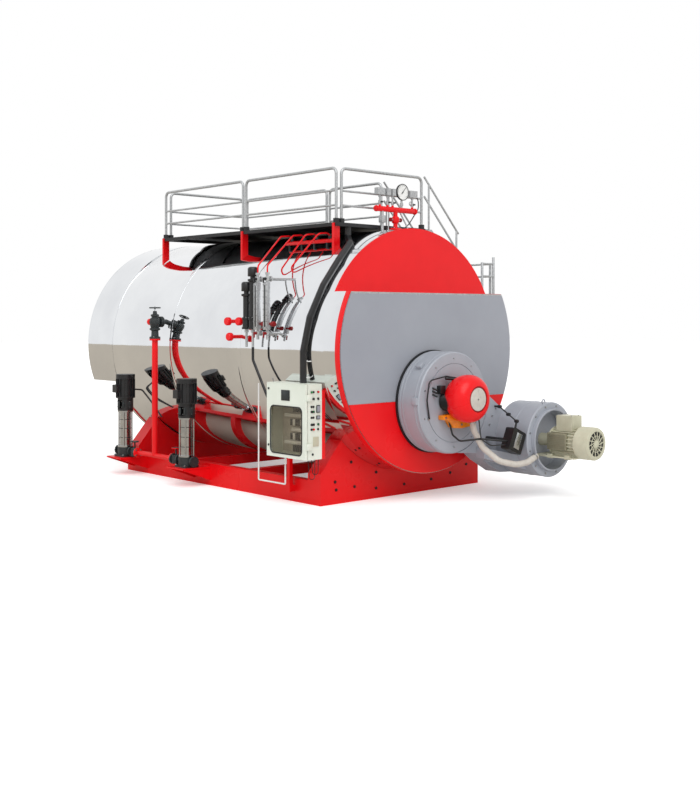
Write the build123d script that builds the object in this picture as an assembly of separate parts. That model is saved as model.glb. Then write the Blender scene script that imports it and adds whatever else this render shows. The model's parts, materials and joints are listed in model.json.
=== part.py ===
from build123d import *
import math
import os

# Fire-tube steam boiler on a steel skid, with its forced-draught burner, feed pumps,
# level columns, control cabinet, walkway and stair.
# Lengths are millimetres. The origin is on the ground, midway under the front saddle.
# +Z is up, the burner end faces -Y, the pumps and the cabinet are on the -X side
# and the stair is on the +X side.

# Drum
CLAD_R = 1175
CLAD_WALL = 112
DRUM_FRONT = -225
DRUM_LENGTH = 3715
DRUM_LIFT = 17
END_PLATE_T = 16
SEAT_GAP = 0.3

# Front smoke box and its door, with heights measured from the drum's axis
FRONT_BOX_DEPTH = 155
FRONT_BOX_WALL = 60
LEDGE_RISE = 549
RIM_DEPTH = 65
RIM_WALL = 55
FACE_PLATE_T = 10
FACE_MARGIN = 8
DOOR_TOP_DROP = 20
DOOR_SILL_DROP = 466
UPPER_PLATE_T = 12
PLATE_SEAM = 3

# Rear smoke box
REAR_BOX_LENGTH = 492
REAR_BOX_DROP = 426
REAR_BOX_WALL = 60
REAR_COVER_T = 12

# Skid and saddles
SKID_INSET = 87
RAIL_H = 224
RAIL_FLANGE = 80
RAIL_WEB = 12
RAIL_FLANGE_T = 14
RAIL_OVERRUN = 140
SADDLE_DEPTH = 180
SADDLE_PITCH = 3110
SADDLE_PLATE = 12
SHOULDER_RISE = 66
CHEEK_INSET = 340
CROSS_WIDTH = 90
CROSS_DROP = 100
CROSS_COUNT = 2

# Walkway on top of the drum
DECK_LEFT = -730
DECK_RIGHT = 497
DECK_FRONT = 100
DECK_LENGTH = 2990
DECK_SPLIT = 1470
DECK_LIFT = 8
DECK_DEPTH = 35
DECK_SKIN = 6
DECK_EDGE = 40
JOIST_WIDTH = 50
JOIST_COUNT = 3
DECK_BRACKET_T = 12
BRACKET_REACH = 70
BRACKET_FLAT = 28
POST_R = 20
RAIL_R = 15
BAR_SIDES = 8
FITTING_SIDES = 12
HOOP_BEND = 60
GUARD_TOP = 536
GUARD_MID = 306
GUARD_LOW = 166
SOCKET_R = 30
SOCKET_H = 40
PANEL_GAP = 6
GATE_WIDTH = 590

# Stair from the walkway to the landing, and from the landing to the ground
STAIR_SLOPE = math.radians(47)
STAIR_CLEAR = 123
STRINGER_DEPTH = 70
STRINGER_T = 8
TREAD_T = 30
TREAD_GOING = 170
TREAD_DEPTH = 85
LANDING_DROP = 844
LANDING_CLEAR = 15
LANDING_WIDTH = 470
LANDING_T = 40
LANDING_POST_EXTRA = 60
SECOND_RAIL_DROP = 135
HANDRAIL_START = 10
HANDRAIL_RUN = 523
HANDRAIL_DROP = 200
HANDRAIL_POST_IN = 70
HANDRAIL_POST_OUT = 30
HANDRAIL_LAP = 40
LOWER_SLOPE = math.radians(58)
LOWER_RISE = 224
LOWER_TREAD = 110
LOWER_HEEL = 120

# Steam header on the drum
HEADER_Y = 36
HEADER_RISE = 199
HEADER_LEFT = -280
HEADER_RIGHT = 290
HEADER_R = 27
STEM_R = 22
STEM_FLANGE_R = 62
STEM_FLANGE_T = 18
STEM_VALVE_RISE = 100
STEM_VALVE_R = 36
STEM_VALVE_H = 60
STEM_ARM = 72
STEM_ARM_R = 13
SIDE_STEM_X = -181
SIDE_STEM_R = 15
GAUGE_X = 85
GAUGE_RISE = 180
GAUGE_R = 83
GAUGE_DEPTH = 50
GAUGE_BEZEL = 7
GAUGE_RECESS = 6
COCK_R = 12
SWITCHES = ((-215, 95), (-110, 55), (-40, 50), (235, 105))
SWITCH_RISE = 135
SWITCH_H = 68
SWITCH_DEPTH = 60
SWITCH_COCK_R = 16
SWITCH_COCK_RISE = 60

# Vent manifold below the walkway's edge, with its four drop pipes
MANIFOLD_INSET = 90
MANIFOLD_LIFT = 70
MANIFOLD_PIPE_R = 20
MANIFOLD_FRONT = 190
MANIFOLD_LENGTH = 760
DROP_PIPE_R = 8
DROP_BEND = 45
DROP_RISE = 75
DROP_REACH = 130
VENT_VALVE_R = 17
VENT_VALVE_H = 34
DROP_END_RISE = 700

# Feed pumps
PUMP_OUT = 197
PUMP_SETBACK = 135
PUMP_PITCH = 1195
SHELF_DROP = 28
SHELF_T = 14
SHELF_WIDTH = 300
SHELF_REACH = 345
GUSSET_T = 10
GUSSET_H = 130
PUMP_FOOT = 190
PUMP_FOOT_T = 18
PUMP_BASE_H = 104
PUMP_BASE_R = 84
PORT_RISE = 60
PORT_R = 32
PORT_REACH = 140
PORT_FLANGE_R = 56
PORT_FLANGE_T = 18
STOP_VALVE_LENGTH = 110
STOP_VALVE_R = 44
STOP_STEM_H = 120
STOP_STEM_R = 9
STOP_WHEEL_R = 45
STOP_WHEEL_T = 12
SLEEVE_R = 60
SLEEVE_H = 400
COLLAR_R = 84
COLLAR_T = 14
TIE_ROD_R = 8
TIE_ROD_COUNT = 4
LANTERN_H = 140
LANTERN_R = 86
LANTERN_WINDOW = 96
LANTERN_MARGIN = 24
COUPLING_R = 34
MOTOR_R = 106
MOTOR_CORE_R = 92
MOTOR_H = 210
MOTOR_FIN_T = 7
MOTOR_FIN_COUNT = 14
FAN_HOOD_H = 50
FAN_HOOD_R = 104
MOTOR_FLANGE_T = 14
TERMINAL_BOX = 86
TERMINAL_OUT = 34

# Feed line
RISER_R = 27
PIPE_R = 25
INLET_RISE = 264
RISER_TOP_DROP = 180
FLANGE_R = 48
FLANGE_T = 18
VALVE_BODY_R = 50
VALVE_NECK_R = 30
BONNET_R = 34
VALVE_H = 260
BRANCH_R = 26
BRANCH_FLANGE_OUT = 52
WHEEL_RISE = 70
WHEEL_R = 62
WHEEL_RIM_R = 7
WHEEL_SIDES = 20
WHEEL_HUB_R = 18
WHEEL_HUB_H = 16
SPOKE_R = 5
SPINDLE_R = 8
HUB_CLEAR = 0.4

# Level columns, level probes and red end caps
COLUMN_OUT = 125
COLUMN_YS = (570, 425)
COLUMN_RISE = 104
COLUMN_LENGTH = 630
COLUMN_R = 20
COLUMN_BRANCH_R = 14
COLUMN_LOW_BRANCH = 60
COLUMN_HIGH_BRANCH = 60
GAUGE_BODY_W = 58
GAUGE_BODY_T = 34
GAUGE_BODY_MARGIN = 90
SIGHT_W = 14
SIGHT_T = 6
PROBE_OUT = 115
PROBE_YS = (760, 660)
PROBE_TOPS = (654, 794)
PROBE_FOOT_RISE = 200
PROBE_FOOT_H = 110
PROBE_FOOT_R = 44
PROBE_R = 33
PROBE_CAP_R = 50
PROBE_CAP_H = 92
PROBE_NECK_R = 26
PROBE_NECK_H = 24
PROBE_COLLAR_H = 22
PROBE_BRANCH_R = 22
PROBE_BRANCH_RISE = 50
DRAIN_R = 14
DRAIN_LENGTH = 170
END_CAP_R = 40
END_CAP_T = 46
END_CAP_STUB_R = 18
END_CAP_PLACES = ((1030, 274), (850, 274), (1000, 124))

# Control cabinet
CAB_OUT = 72
CAB_FRONT = -190
CAB_WIDTH = 560
CAB_DEPTH = 164
CAB_LOW = 450
CAB_HEIGHT = 680
CAB_SHEET = 5
DOOR_GAP = 6
DOOR_T = 20
WINDOW_MARGIN = 55
WINDOW_SILL = 35
WINDOW_H = 434
WINDOW_CORNER = 45
GLASS_T = 5
GLASS_CLEAR = 0.2
HINGE_OUT = 12
HINGE_PIN_R = 4
KNUCKLE_R = 7
KNUCKLE_H = 30
HINGE_INSET = 90
HINGE_LEAF = 36
HINGE_LEAF_T = 8
KNUCKLE_WEB = 6
POST_WIDTH = 40
POST_INSET = 60
POST_TOP_DROP = 60
POST_FOOT_Z = 100
POST_FOOT_H = 60
GEAR_PLATE_T = 3
GEAR_MARGIN = 40
GEAR_ROWS = 3
GEAR_ROW_H = 80
GEAR_DEPTH = 62
GEAR_SHARE = 0.55
GEAR_MODULES = 5

# Cables on the left flank
BUNDLE_R = 32
BUNDLE_CLEAR = 2
BUNDLE_TURNS = ((0, 0), (15, -45), (30, -90), (44, -100), (57, -20), (64, 150))
LEAD_R = 13
LEAD_BEND = 60
CONDUIT_R = 11
CONDUIT_BEND = 26
CONDUIT_Y = 632
CONDUIT_HIGH = 1104
CONDUIT_LOW = 185
CONDUIT_ENTRY_Y = 230

# Burner
BURNER_DROP = 486
GASKET_R = 490
GASKET_T = 20
HOUSING_R = 475
HOUSING_LENGTH = 265
HOUSING_EDGE = 12
GROOVE_R = 425
GROOVE_W = 6
GROOVE_DEPTH = 4
CAP_RISE = 47
CAP_NECK_R = 195
CAP_R = 222
CAP_BULGE = 165
CAP_NOSE_R = 125
CAP_LENGTH = 305
CAP_STEPS = 4
BRACKET_T = 50
HOSE_R = 25
HOSE_BEND = 110
HOSE_START_X = 105

# Combustion air fan and its duct
FAN_X = 960
FAN_DROP = 385
SCROLL_R = 360
SCROLL_DEPTH = 390
INLET_R = 300
INLET_WALL = 16
INLET_PROUD = 40
INLET_DEPTH = 150
DUCT_DEPTH = 180
DUCT_START_X = 60
DUCT_THROAT = ((313, 497), (429, 583), (667, 712))
DUCT_CROWN_X = 300
DUCT_CROWN_RISE = 179
DUCT_FAN_RISE = 115
DUCT_FAN_DROP = 345
CHUTE_X = 313
CHUTE_DEPTH = 100
CHUTE_LOW = 540
CHUTE_HEIGHT = 100
CHUTE_MOUTH_LOW = 350
CHUTE_MOUTH_HEIGHT = 140
MOTOR_NECK_R = 60
MOTOR_STANDOFF = 60
FAN_MOTOR_R = 135
FAN_CORE_R = 116
FAN_MOTOR_LENGTH = 310
FAN_FIN_T = 7
FAN_FIN_COUNT = 24
FAN_END_T = 18
FOOT_PLATE_T = 14
FOOT_PLATE_WIDTH = 270
FAN_BOX = (150, 183, 134)
COWL_R = 155
COWL_LENGTH = 160
COWL_EDGE = 18
COWL_SLOTS = 12
COWL_SLOT_W = 8
COWL_SLOT_IN = 44
COWL_SLOT_OUT = 120
COWL_SLOT_DEPTH = 8
SERVO = (190, 100, 215)
SERVO_TILT = 24
SERVO_X = 468
SERVO_RISE = 20
SERVO_NECK_R = 20
SERVO_STANDOFF = 280

# Places worked out from the sizes above
SKID_HALF = CLAD_R - SKID_INSET
AXIS_Z = RAIL_H + DRUM_LIFT + CLAD_R
DRUM_TOP = AXIS_Z + CLAD_R
DRUM_BACK = DRUM_FRONT + DRUM_LENGTH
FRONT_BOX_Y = DRUM_FRONT - FRONT_BOX_DEPTH
RIM_Y = FRONT_BOX_Y - RIM_DEPTH
FACE_Y = RIM_Y - FACE_PLATE_T
LEDGE_Z = AXIS_Z + LEDGE_RISE
DOOR_SILL_Z = AXIS_Z - DOOR_SILL_DROP
REAR_BOX_SILL_Z = AXIS_Z - REAR_BOX_DROP
SHOULDER_Z = RAIL_H + SHOULDER_RISE
CHEEK_X = CLAD_R - CHEEK_INSET
DECK_BACK = DECK_FRONT + DECK_LENGTH
DECK_TOP = DRUM_TOP + DECK_LIFT + DECK_DEPTH
DECK_UNDER = DECK_TOP - DECK_DEPTH
GATE_BACK = DECK_FRONT + GATE_WIDTH
STAIR_FRONT = DECK_FRONT + SOCKET_R + RAIL_R
STAIR_BACK = GATE_BACK + SOCKET_R - RAIL_R
STAIR_TOP_X = (CLAD_R + STAIR_CLEAR - math.cos(STAIR_SLOPE) * (DECK_TOP - AXIS_Z)) / math.sin(STAIR_SLOPE)
LANDING_Z = DECK_TOP - LANDING_DROP
LANDING_LEFT = CLAD_R + LANDING_CLEAR
LANDING_RIGHT = LANDING_LEFT + LANDING_WIDTH
STAIR_FOOT_X = STAIR_TOP_X + LANDING_DROP / math.tan(STAIR_SLOPE)
HEADER_Z = DRUM_TOP + HEADER_RISE
GAUGE_Z = HEADER_Z + GAUGE_RISE
SHELF_Z = RAIL_H - SHELF_DROP
PUMP_X = -SKID_HALF - PUMP_OUT
PORT_Z = SHELF_Z + PORT_RISE
PUMP_YS = (SADDLE_PITCH - PUMP_SETBACK - PUMP_PITCH, SADDLE_PITCH - PUMP_SETBACK)
RISER_Y = sum(PUMP_YS) / 2
SLEEVE_LOW = SHELF_Z + PUMP_BASE_H
LANTERN_LOW = SLEEVE_LOW + SLEEVE_H
MOTOR_LOW = LANTERN_LOW + LANTERN_H
INLET_Z = AXIS_Z + INLET_RISE
RISER_TOP = INLET_Z - RISER_TOP_DROP
VALVE_TOP = RISER_TOP + VALVE_H
WHEEL_Z = VALVE_TOP + WHEEL_RISE
COLUMN_X = -CLAD_R - COLUMN_OUT
COLUMN_LOW = AXIS_Z + COLUMN_RISE
COLUMN_HIGH = COLUMN_LOW + COLUMN_LENGTH
PROBE_X = -CLAD_R - PROBE_OUT
PROBE_FOOT_Z = AXIS_Z + PROBE_FOOT_RISE
CAB_BACK_X = -SKID_HALF - CAB_OUT
CAB_FACE_X = CAB_BACK_X - CAB_DEPTH
CAB_REAR = CAB_FRONT + CAB_WIDTH
CAB_HIGH = CAB_LOW + CAB_HEIGHT
DOOR_IN_X = CAB_FACE_X - DOOR_GAP
CONDUIT_X = (CAB_BACK_X + CAB_FACE_X) / 2
BURNER_Z = AXIS_Z - BURNER_DROP
HOUSING_Y = FACE_Y - GASKET_T
BURNER_FACE = HOUSING_Y - HOUSING_LENGTH
CAP_Z = BURNER_Z + CAP_RISE
FAN_Z = BURNER_Z - FAN_DROP
SCROLL_FRONT = BURNER_FACE - SCROLL_DEPTH
INLET_FRONT = SCROLL_FRONT - INLET_PROUD
INLET_FLOOR = INLET_FRONT + INLET_DEPTH
MOTOR_BACK = SCROLL_FRONT - MOTOR_STANDOFF
MOTOR_FRONT = MOTOR_BACK - FAN_MOTOR_LENGTH
COWL_FRONT = MOTOR_FRONT - COWL_LENGTH
FAR = 4 * CLAD_R
BASE = (Align.CENTER, Align.CENTER, Align.MIN)
CORNER = (Align.MIN, Align.MIN, Align.MIN)


def block(x0, x1, y0, y1, z0, z1):
    """A box between two opposite corners."""
    return Pos(x0, y0, z0) * Box(x1 - x0, y1 - y0, z1 - z0, align=CORNER)


def rod(start, end, radius):
    """A round bar from one point to another."""
    run = Vector(*end) - Vector(*start)
    seat = Plane(origin=start, z_dir=run)
    return seat * Cylinder(radius, run.length, align=BASE)


def bar(start, end, radius, sides=BAR_SIDES):
    """A tube or bar from one point to another, with few flat sides."""
    run = Vector(*end) - Vector(*start)
    seat = Plane(origin=start, z_dir=run)
    return extrude(seat * RegularPolygon(radius, sides), run.length)


def fitting(start, end, radius):
    """A round fitting from one point to another, with few flat sides."""
    return bar(start, end, radius, FITTING_SIDES)


def tube(points, radius, bend):
    """A tube bent at each of its corners, with few flat sides."""
    path = FilletPolyline(*points, radius=bend)
    section = Plane(origin=path @ 0, z_dir=path % 0) * RegularPolygon(radius, BAR_SIDES)
    return sweep(section, path=path)


def stack(foot, slices):
    """Round slices on top of each other: the radius and the height of each."""
    x, y, z = foot
    body = []
    for radius, height in slices:
        body.append(fitting((x, y, z), (x, y, z + height), radius))
        z += height
    return joined(body)


def joined(shapes):
    """All shapes as one."""
    shapes = list(shapes)
    return shapes[0] + shapes[1:]


def drum_slice(y0, y1, radius, low=-FAR, high=FAR):
    """A slice of the drum's cylinder, cut flat at two heights."""
    disc = rod((0, y0, AXIS_Z), (0, y1, AXIS_Z), radius)
    bottom = max(low, AXIS_Z - radius - 1)
    top = min(high, AXIS_Z + radius + 1)
    return disc & block(-radius - 1, radius + 1, y0 - 1, y1 + 1, bottom, top)


def drum_core(y0, y1):
    """The drum's outside with the seating gap, for cutting what rests on it."""
    return rod((0, y0, AXIS_Z), (0, y1, AXIS_Z), CLAD_R + SEAT_GAP)


def drum_height(x, radius=CLAD_R):
    """The height of the drum's upper surface at a distance from its middle."""
    return AXIS_Z + math.sqrt(radius**2 - x**2)


def drum_side(z, radius=CLAD_R):
    """Half the drum's width at a height."""
    return math.sqrt(radius**2 - (z - AXIS_Z) ** 2)


def mirrored(shape):
    """A shape and its reflection across the drum's middle plane."""
    return shape + mirror(shape, about=Plane.YZ)


def skid_rail(side):
    """A channel along one side of the skid, its web outwards."""
    y0 = SADDLE_DEPTH / 2
    y1 = SADDLE_PITCH + RAIL_OVERRUN
    inner = SKID_HALF - RAIL_FLANGE
    outer = block(inner, SKID_HALF, y0, y1, 0, RAIL_H)
    hollow = block(inner, SKID_HALF - RAIL_WEB, y0, y1, RAIL_FLANGE_T, RAIL_H - RAIL_FLANGE_T)
    rail = outer - hollow
    return rail if side > 0 else mirror(rail, about=Plane.YZ)


def cross_members():
    """Bars across the skid between its two rails."""
    reach = SKID_HALF - RAIL_FLANGE
    half = CROSS_WIDTH / 2
    bars = []
    for i in range(1, CROSS_COUNT + 1):
        y = SADDLE_PITCH * i / (CROSS_COUNT + 1)
        bars.append(block(-reach, reach, y - half, y + half, RAIL_H - CROSS_DROP, RAIL_H))
    return joined(bars)


def saddle_face():
    """The outline of a saddle across the skid, on the XZ plane."""
    cheek_z = AXIS_Z - math.sqrt((CLAD_R + SEAT_GAP) ** 2 - CHEEK_X**2)
    corners = [(0, 0), (SKID_HALF, 0), (SKID_HALF, SHOULDER_Z), (CHEEK_X, cheek_z), (0, cheek_z)]
    side = make_face(Polyline(*corners, close=True))
    outline = side + mirror(side, about=Plane.YZ)
    return outline - Pos(0, AXIS_Z) * Circle(CLAD_R + SEAT_GAP)


def saddle(centre_y, coped):
    """A plate saddle, open underneath, that carries the drum."""
    face = saddle_face()
    inner = offset(face, amount=-SADDLE_PLATE, kind=Kind.INTERSECTION)
    inner += Pos(0, SADDLE_PLATE) * Rectangle(2 * (SKID_HALF - SADDLE_PLATE), 4 * SADDLE_PLATE)
    front = centre_y - SADDLE_DEPTH / 2
    back = front + SADDLE_DEPTH
    outer_plane = Plane(origin=(0, front, 0), x_dir=(1, 0, 0), z_dir=(0, -1, 0))
    inner_plane = Plane(origin=(0, front + SADDLE_PLATE, 0), x_dir=(1, 0, 0), z_dir=(0, -1, 0))
    body = extrude(outer_plane * face, -SADDLE_DEPTH)
    body -= extrude(inner_plane * inner, -(SADDLE_DEPTH - 2 * SADDLE_PLATE))
    body -= block(-SKID_HALF, SKID_HALF, front - 1, back + 1, -4 * SADDLE_PLATE, 0)
    if coped:
        notch = block(SKID_HALF - RAIL_FLANGE, SKID_HALF + 1, front - 1, back + 1, -1, RAIL_H)
        body -= mirrored(notch)
    return body


def gusset(y):
    """A triangular rib under a pump shelf, against the rail's web."""
    low = SHELF_Z - SHELF_T
    outline = Polyline((0, low), (-SHELF_REACH, low), (0, low - GUSSET_H), close=True)
    plane = Plane(origin=(-SKID_HALF, y + GUSSET_T / 2, 0), x_dir=(1, 0, 0), z_dir=(0, -1, 0))
    return extrude(plane * make_face(outline), GUSSET_T)


def pump_shelves():
    """Ribbed brackets on the left rail that carry the feed pumps."""
    half = SHELF_WIDTH / 2
    shelves = []
    for y in PUMP_YS:
        edge = -SKID_HALF - SHELF_REACH
        shelf = block(edge, -SKID_HALF, y - half, y + half, SHELF_Z - SHELF_T, SHELF_Z)
        for side in (-1, 1):
            shelf += gusset(y + side * (half - GUSSET_T))
        shelves.append(shelf)
    return joined(shelves)


def drum_shell():
    """The insulated drum wall with its polished cladding."""
    outer = drum_slice(DRUM_FRONT, DRUM_BACK, CLAD_R)
    return outer - rod((0, DRUM_FRONT - 1, AXIS_Z), (0, DRUM_BACK + 1, AXIS_Z), CLAD_R - CLAD_WALL)


def end_plate(y0):
    """A plate that closes one end of the drum inside its wall."""
    return drum_slice(y0, y0 + END_PLATE_T, CLAD_R - CLAD_WALL - SEAT_GAP)


def flat_shell(y0, y1, wall, low=-FAR, high=FAR):
    """A ring of the drum's section, cut flat below or above."""
    outer = drum_slice(y0, y1, CLAD_R, low, high)
    inner = drum_slice(y0 - 1, y1 + 1, CLAD_R - wall, low + wall, high - wall)
    return outer - inner


def front_upper_plate():
    """The segment plate that covers the drum's front end over the smoke box."""
    return drum_slice(DRUM_FRONT - UPPER_PLATE_T, DRUM_FRONT, CLAD_R, low=LEDGE_Z)


def face_plate(low, high):
    """A flat plate on the front of the rim."""
    return drum_slice(FACE_Y, RIM_Y, CLAD_R - FACE_MARGIN, low, high)


def rear_cover():
    """The plate that closes the rear smoke box."""
    y0 = DRUM_BACK + REAR_BOX_LENGTH
    return drum_slice(y0, y0 + REAR_COVER_T, CLAD_R, low=REAR_BOX_SILL_Z)


def post_ys():
    """The walkway posts' places along its long side."""
    return [DECK_FRONT + SOCKET_R, DECK_FRONT + DECK_SPLIT, DECK_BACK - SOCKET_R]


def guard_lines():
    """Each guard node's panels, as pairs of end posts in plan."""
    near_x = DECK_LEFT + SOCKET_R
    far_x = DECK_RIGHT - SOCKET_R
    y0, y1, y2 = post_ys()
    step = SOCKET_R + PANEL_GAP / 2
    corner = 2 * SOCKET_R + PANEL_GAP
    gate_y = GATE_BACK + SOCKET_R
    return {
        "guard_near_side": [((near_x, y0), (near_x, y1 - step)), ((near_x, y1 + step), (near_x, y2))],
        "guard_far_side": [((far_x, gate_y), (far_x, y1 - step)), ((far_x, y1 + step), (far_x, y2))],
        "guard_rear_end": [((near_x + corner, y2), (far_x - corner, y2))],
        "guard_front_end": [((near_x + corner, y0), (far_x, y0))],
    }


def deck_floor():
    """The walkway's plate on its edge frame and joists, with the guard posts' sockets."""
    edge = DECK_EDGE
    deck = block(DECK_LEFT, DECK_RIGHT, DECK_FRONT, DECK_BACK, DECK_UNDER, DECK_TOP)
    left, right, front, back = DECK_LEFT + edge, DECK_RIGHT - edge, DECK_FRONT + edge, DECK_BACK - edge
    deck -= block(left, right, front, back, DECK_UNDER, DECK_TOP - DECK_SKIN)
    half = JOIST_WIDTH / 2
    for i in range(1, JOIST_COUNT + 1):
        y = DECK_FRONT + DECK_LENGTH * i / (JOIST_COUNT + 1)
        deck += block(DECK_LEFT, DECK_RIGHT, y - half, y + half, DECK_UNDER, DECK_TOP - DECK_SKIN)
    for panels in guard_lines().values():
        for x, y in sum(panels, ()):
            deck += bar((x, y, DECK_TOP), (x, y, DECK_TOP + SOCKET_H), SOCKET_R)
    return deck


def deck_brackets():
    """Plates from the drum up to the walkway's edges, with a flat outside each edge."""
    plates = []
    for y in post_ys():
        for x, inward in ((DECK_LEFT, 1), (DECK_RIGHT, -1)):
            web_x = sorted((x, x + inward * BRACKET_REACH))
            flat_x = sorted((x, x - inward * DECK_BRACKET_T))
            web = block(*web_x, y - DECK_BRACKET_T / 2, y + DECK_BRACKET_T / 2, AXIS_Z, DECK_UNDER)
            top = DECK_TOP - DECK_SKIN
            flat = block(*flat_x, y - BRACKET_FLAT / 2, y + BRACKET_FLAT / 2, AXIS_Z, top)
            plates.append(web + flat - drum_core(y - BRACKET_FLAT, y + BRACKET_FLAT))
    return joined(plates)


def guard_panel(first, last):
    """A bent tube over two posts, with two rails between them."""
    low = DECK_TOP + SOCKET_H
    high = DECK_TOP + GUARD_TOP - RAIL_R
    panel = tube([(*first, low), (*first, high), (*last, high), (*last, low)], POST_R, HOOP_BEND)
    for height in (GUARD_MID, GUARD_LOW):
        panel += bar((*first, DECK_TOP + height), (*last, DECK_TOP + height), RAIL_R)
    return panel


def guards():
    """The four sides of the walkway's guard, clear of each other at the corners."""
    nodes = {}
    for name, panels in guard_lines().items():
        nodes[name] = joined(guard_panel(first, last) for first, last in panels)
    return nodes


def stair_line(x):
    """The height of the upper stair's nosing line."""
    return DECK_TOP - (x - STAIR_TOP_X) * math.tan(STAIR_SLOPE)


def upper_stringer(y):
    """A side plate of the upper stair, from the walkway to the landing."""
    drop = STRINGER_DEPTH / math.cos(STAIR_SLOPE)
    outline = Polyline(
        (DECK_RIGHT, DECK_TOP),
        (STAIR_TOP_X, DECK_TOP),
        (STAIR_FOOT_X, LANDING_Z),
        (STAIR_FOOT_X - STRINGER_DEPTH / math.sin(STAIR_SLOPE), LANDING_Z),
        (STAIR_TOP_X, DECK_TOP - drop),
        (STAIR_TOP_X, DECK_UNDER),
        (DECK_RIGHT, DECK_UNDER),
        close=True,
    )
    plane = Plane(origin=(0, y, 0), x_dir=(1, 0, 0), z_dir=(0, -1, 0))
    return extrude(plane * make_face(outline), -STRINGER_T)


def upper_treads():
    """The step-off plate and the treads between the upper stair's stringers."""
    rise = TREAD_GOING * math.tan(STAIR_SLOPE)
    count = int(LANDING_DROP / rise)
    y0 = STAIR_FRONT + STRINGER_T
    y1 = STAIR_BACK - STRINGER_T
    treads = [block(DECK_RIGHT, STAIR_TOP_X, y0, y1, DECK_TOP - DECK_SKIN, DECK_TOP)]
    for i in range(1, count + 1):
        z = DECK_TOP - i * rise
        x = STAIR_TOP_X + i * TREAD_GOING
        if z - TREAD_T > LANDING_Z:
            treads.append(block(x - TREAD_DEPTH, x, y0, y1, z - TREAD_T, z))
    return joined(treads)


def landing():
    """The landing beside the drum."""
    return block(LANDING_LEFT, LANDING_RIGHT, STAIR_FRONT, STAIR_BACK, LANDING_Z - LANDING_T, LANDING_Z)


def landing_panel(first, last, first_top, last_top):
    """One flat side of the landing's guard, between two posts."""
    panel = bar((*first, LANDING_Z), (*first, LANDING_Z + first_top), POST_R)
    panel += bar((*last, LANDING_Z), (*last, LANDING_Z + last_top), POST_R)
    for height in (GUARD_TOP - RAIL_R, GUARD_TOP - RAIL_R - SECOND_RAIL_DROP):
        panel += bar((*first, LANDING_Z + height), (*last, LANDING_Z + height), RAIL_R)
    return panel


def landing_guard():
    """The landing's guard on its front and outer sides, as two panels."""
    y0 = STAIR_FRONT + POST_R
    y1 = STAIR_BACK - POST_R
    x0 = STAIR_FOOT_X + POST_R + PANEL_GAP
    x1 = LANDING_RIGHT - POST_R
    corner = 2 * POST_R + PANEL_GAP
    tall = GUARD_TOP + LANDING_POST_EXTRA
    front = landing_panel((x0, y0), (x1, y0), GUARD_TOP, tall)
    side = landing_panel((x1, y0 + corner), (x1, y1), GUARD_TOP, tall)
    return joined([front, side])


def stair_handrails():
    """Sloping rails beside the upper stair."""
    start_x = DECK_RIGHT + HANDRAIL_START
    end_x = start_x + HANDRAIL_RUN
    fall = HANDRAIL_RUN * math.tan(STAIR_SLOPE)
    sides = []
    for y in (STAIR_FRONT - RAIL_R, STAIR_BACK + RAIL_R):
        bars = []
        for drop in (0, HANDRAIL_DROP):
            top = DECK_TOP + GUARD_TOP - drop
            bars.append(bar((start_x, y, top), (end_x, y, top - fall), RAIL_R))
        for x in (start_x + HANDRAIL_POST_IN, end_x - HANDRAIL_POST_OUT):
            top = DECK_TOP + GUARD_TOP - (x - start_x) * math.tan(STAIR_SLOPE)
            foot = min(DECK_TOP, stair_line(x)) - HANDRAIL_LAP
            bars.append(bar((x, y, foot), (x, y, top), RAIL_R))
        sides.append(joined(bars))
    return joined(sides)


def lower_flight():
    """The lower stair's side plates, from the landing to the ground along the drum."""
    run = (LANDING_Z - LANDING_T) / math.tan(LOWER_SLOPE)
    drop = 2 * STRINGER_DEPTH / math.sin(LOWER_SLOPE)
    foot = STAIR_BACK + run
    outline = Polyline(
        (STAIR_BACK, LANDING_Z), (foot, 0), (foot - drop, 0), (STAIR_BACK, LANDING_Z - LOWER_HEEL), close=True
    )
    sides = []
    for x in (LANDING_LEFT, LANDING_RIGHT - STRINGER_T):
        plane = Plane(origin=(x, 0, 0), x_dir=(0, 1, 0), z_dir=(1, 0, 0))
        sides.append(extrude(plane * make_face(outline), STRINGER_T))
    return joined(sides)


def lower_treads():
    """Treads of the lower stair."""
    going = LOWER_RISE / math.tan(LOWER_SLOPE)
    x0 = LANDING_LEFT + STRINGER_T
    x1 = LANDING_RIGHT - STRINGER_T
    treads = []
    for i in range(1, int(LANDING_Z / LOWER_RISE)):
        y = STAIR_BACK + i * going
        z = LANDING_Z - i * LOWER_RISE
        treads.append(block(x0, x1, y - LOWER_TREAD, y, z - TREAD_T, z))
    return joined(treads)


def header_line(y0, y1, radius):
    """A bar through the gauge's centre, along the drum."""
    return rod((GAUGE_X, y0, GAUGE_Z), (GAUGE_X, y1, GAUGE_Z), radius)


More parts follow.
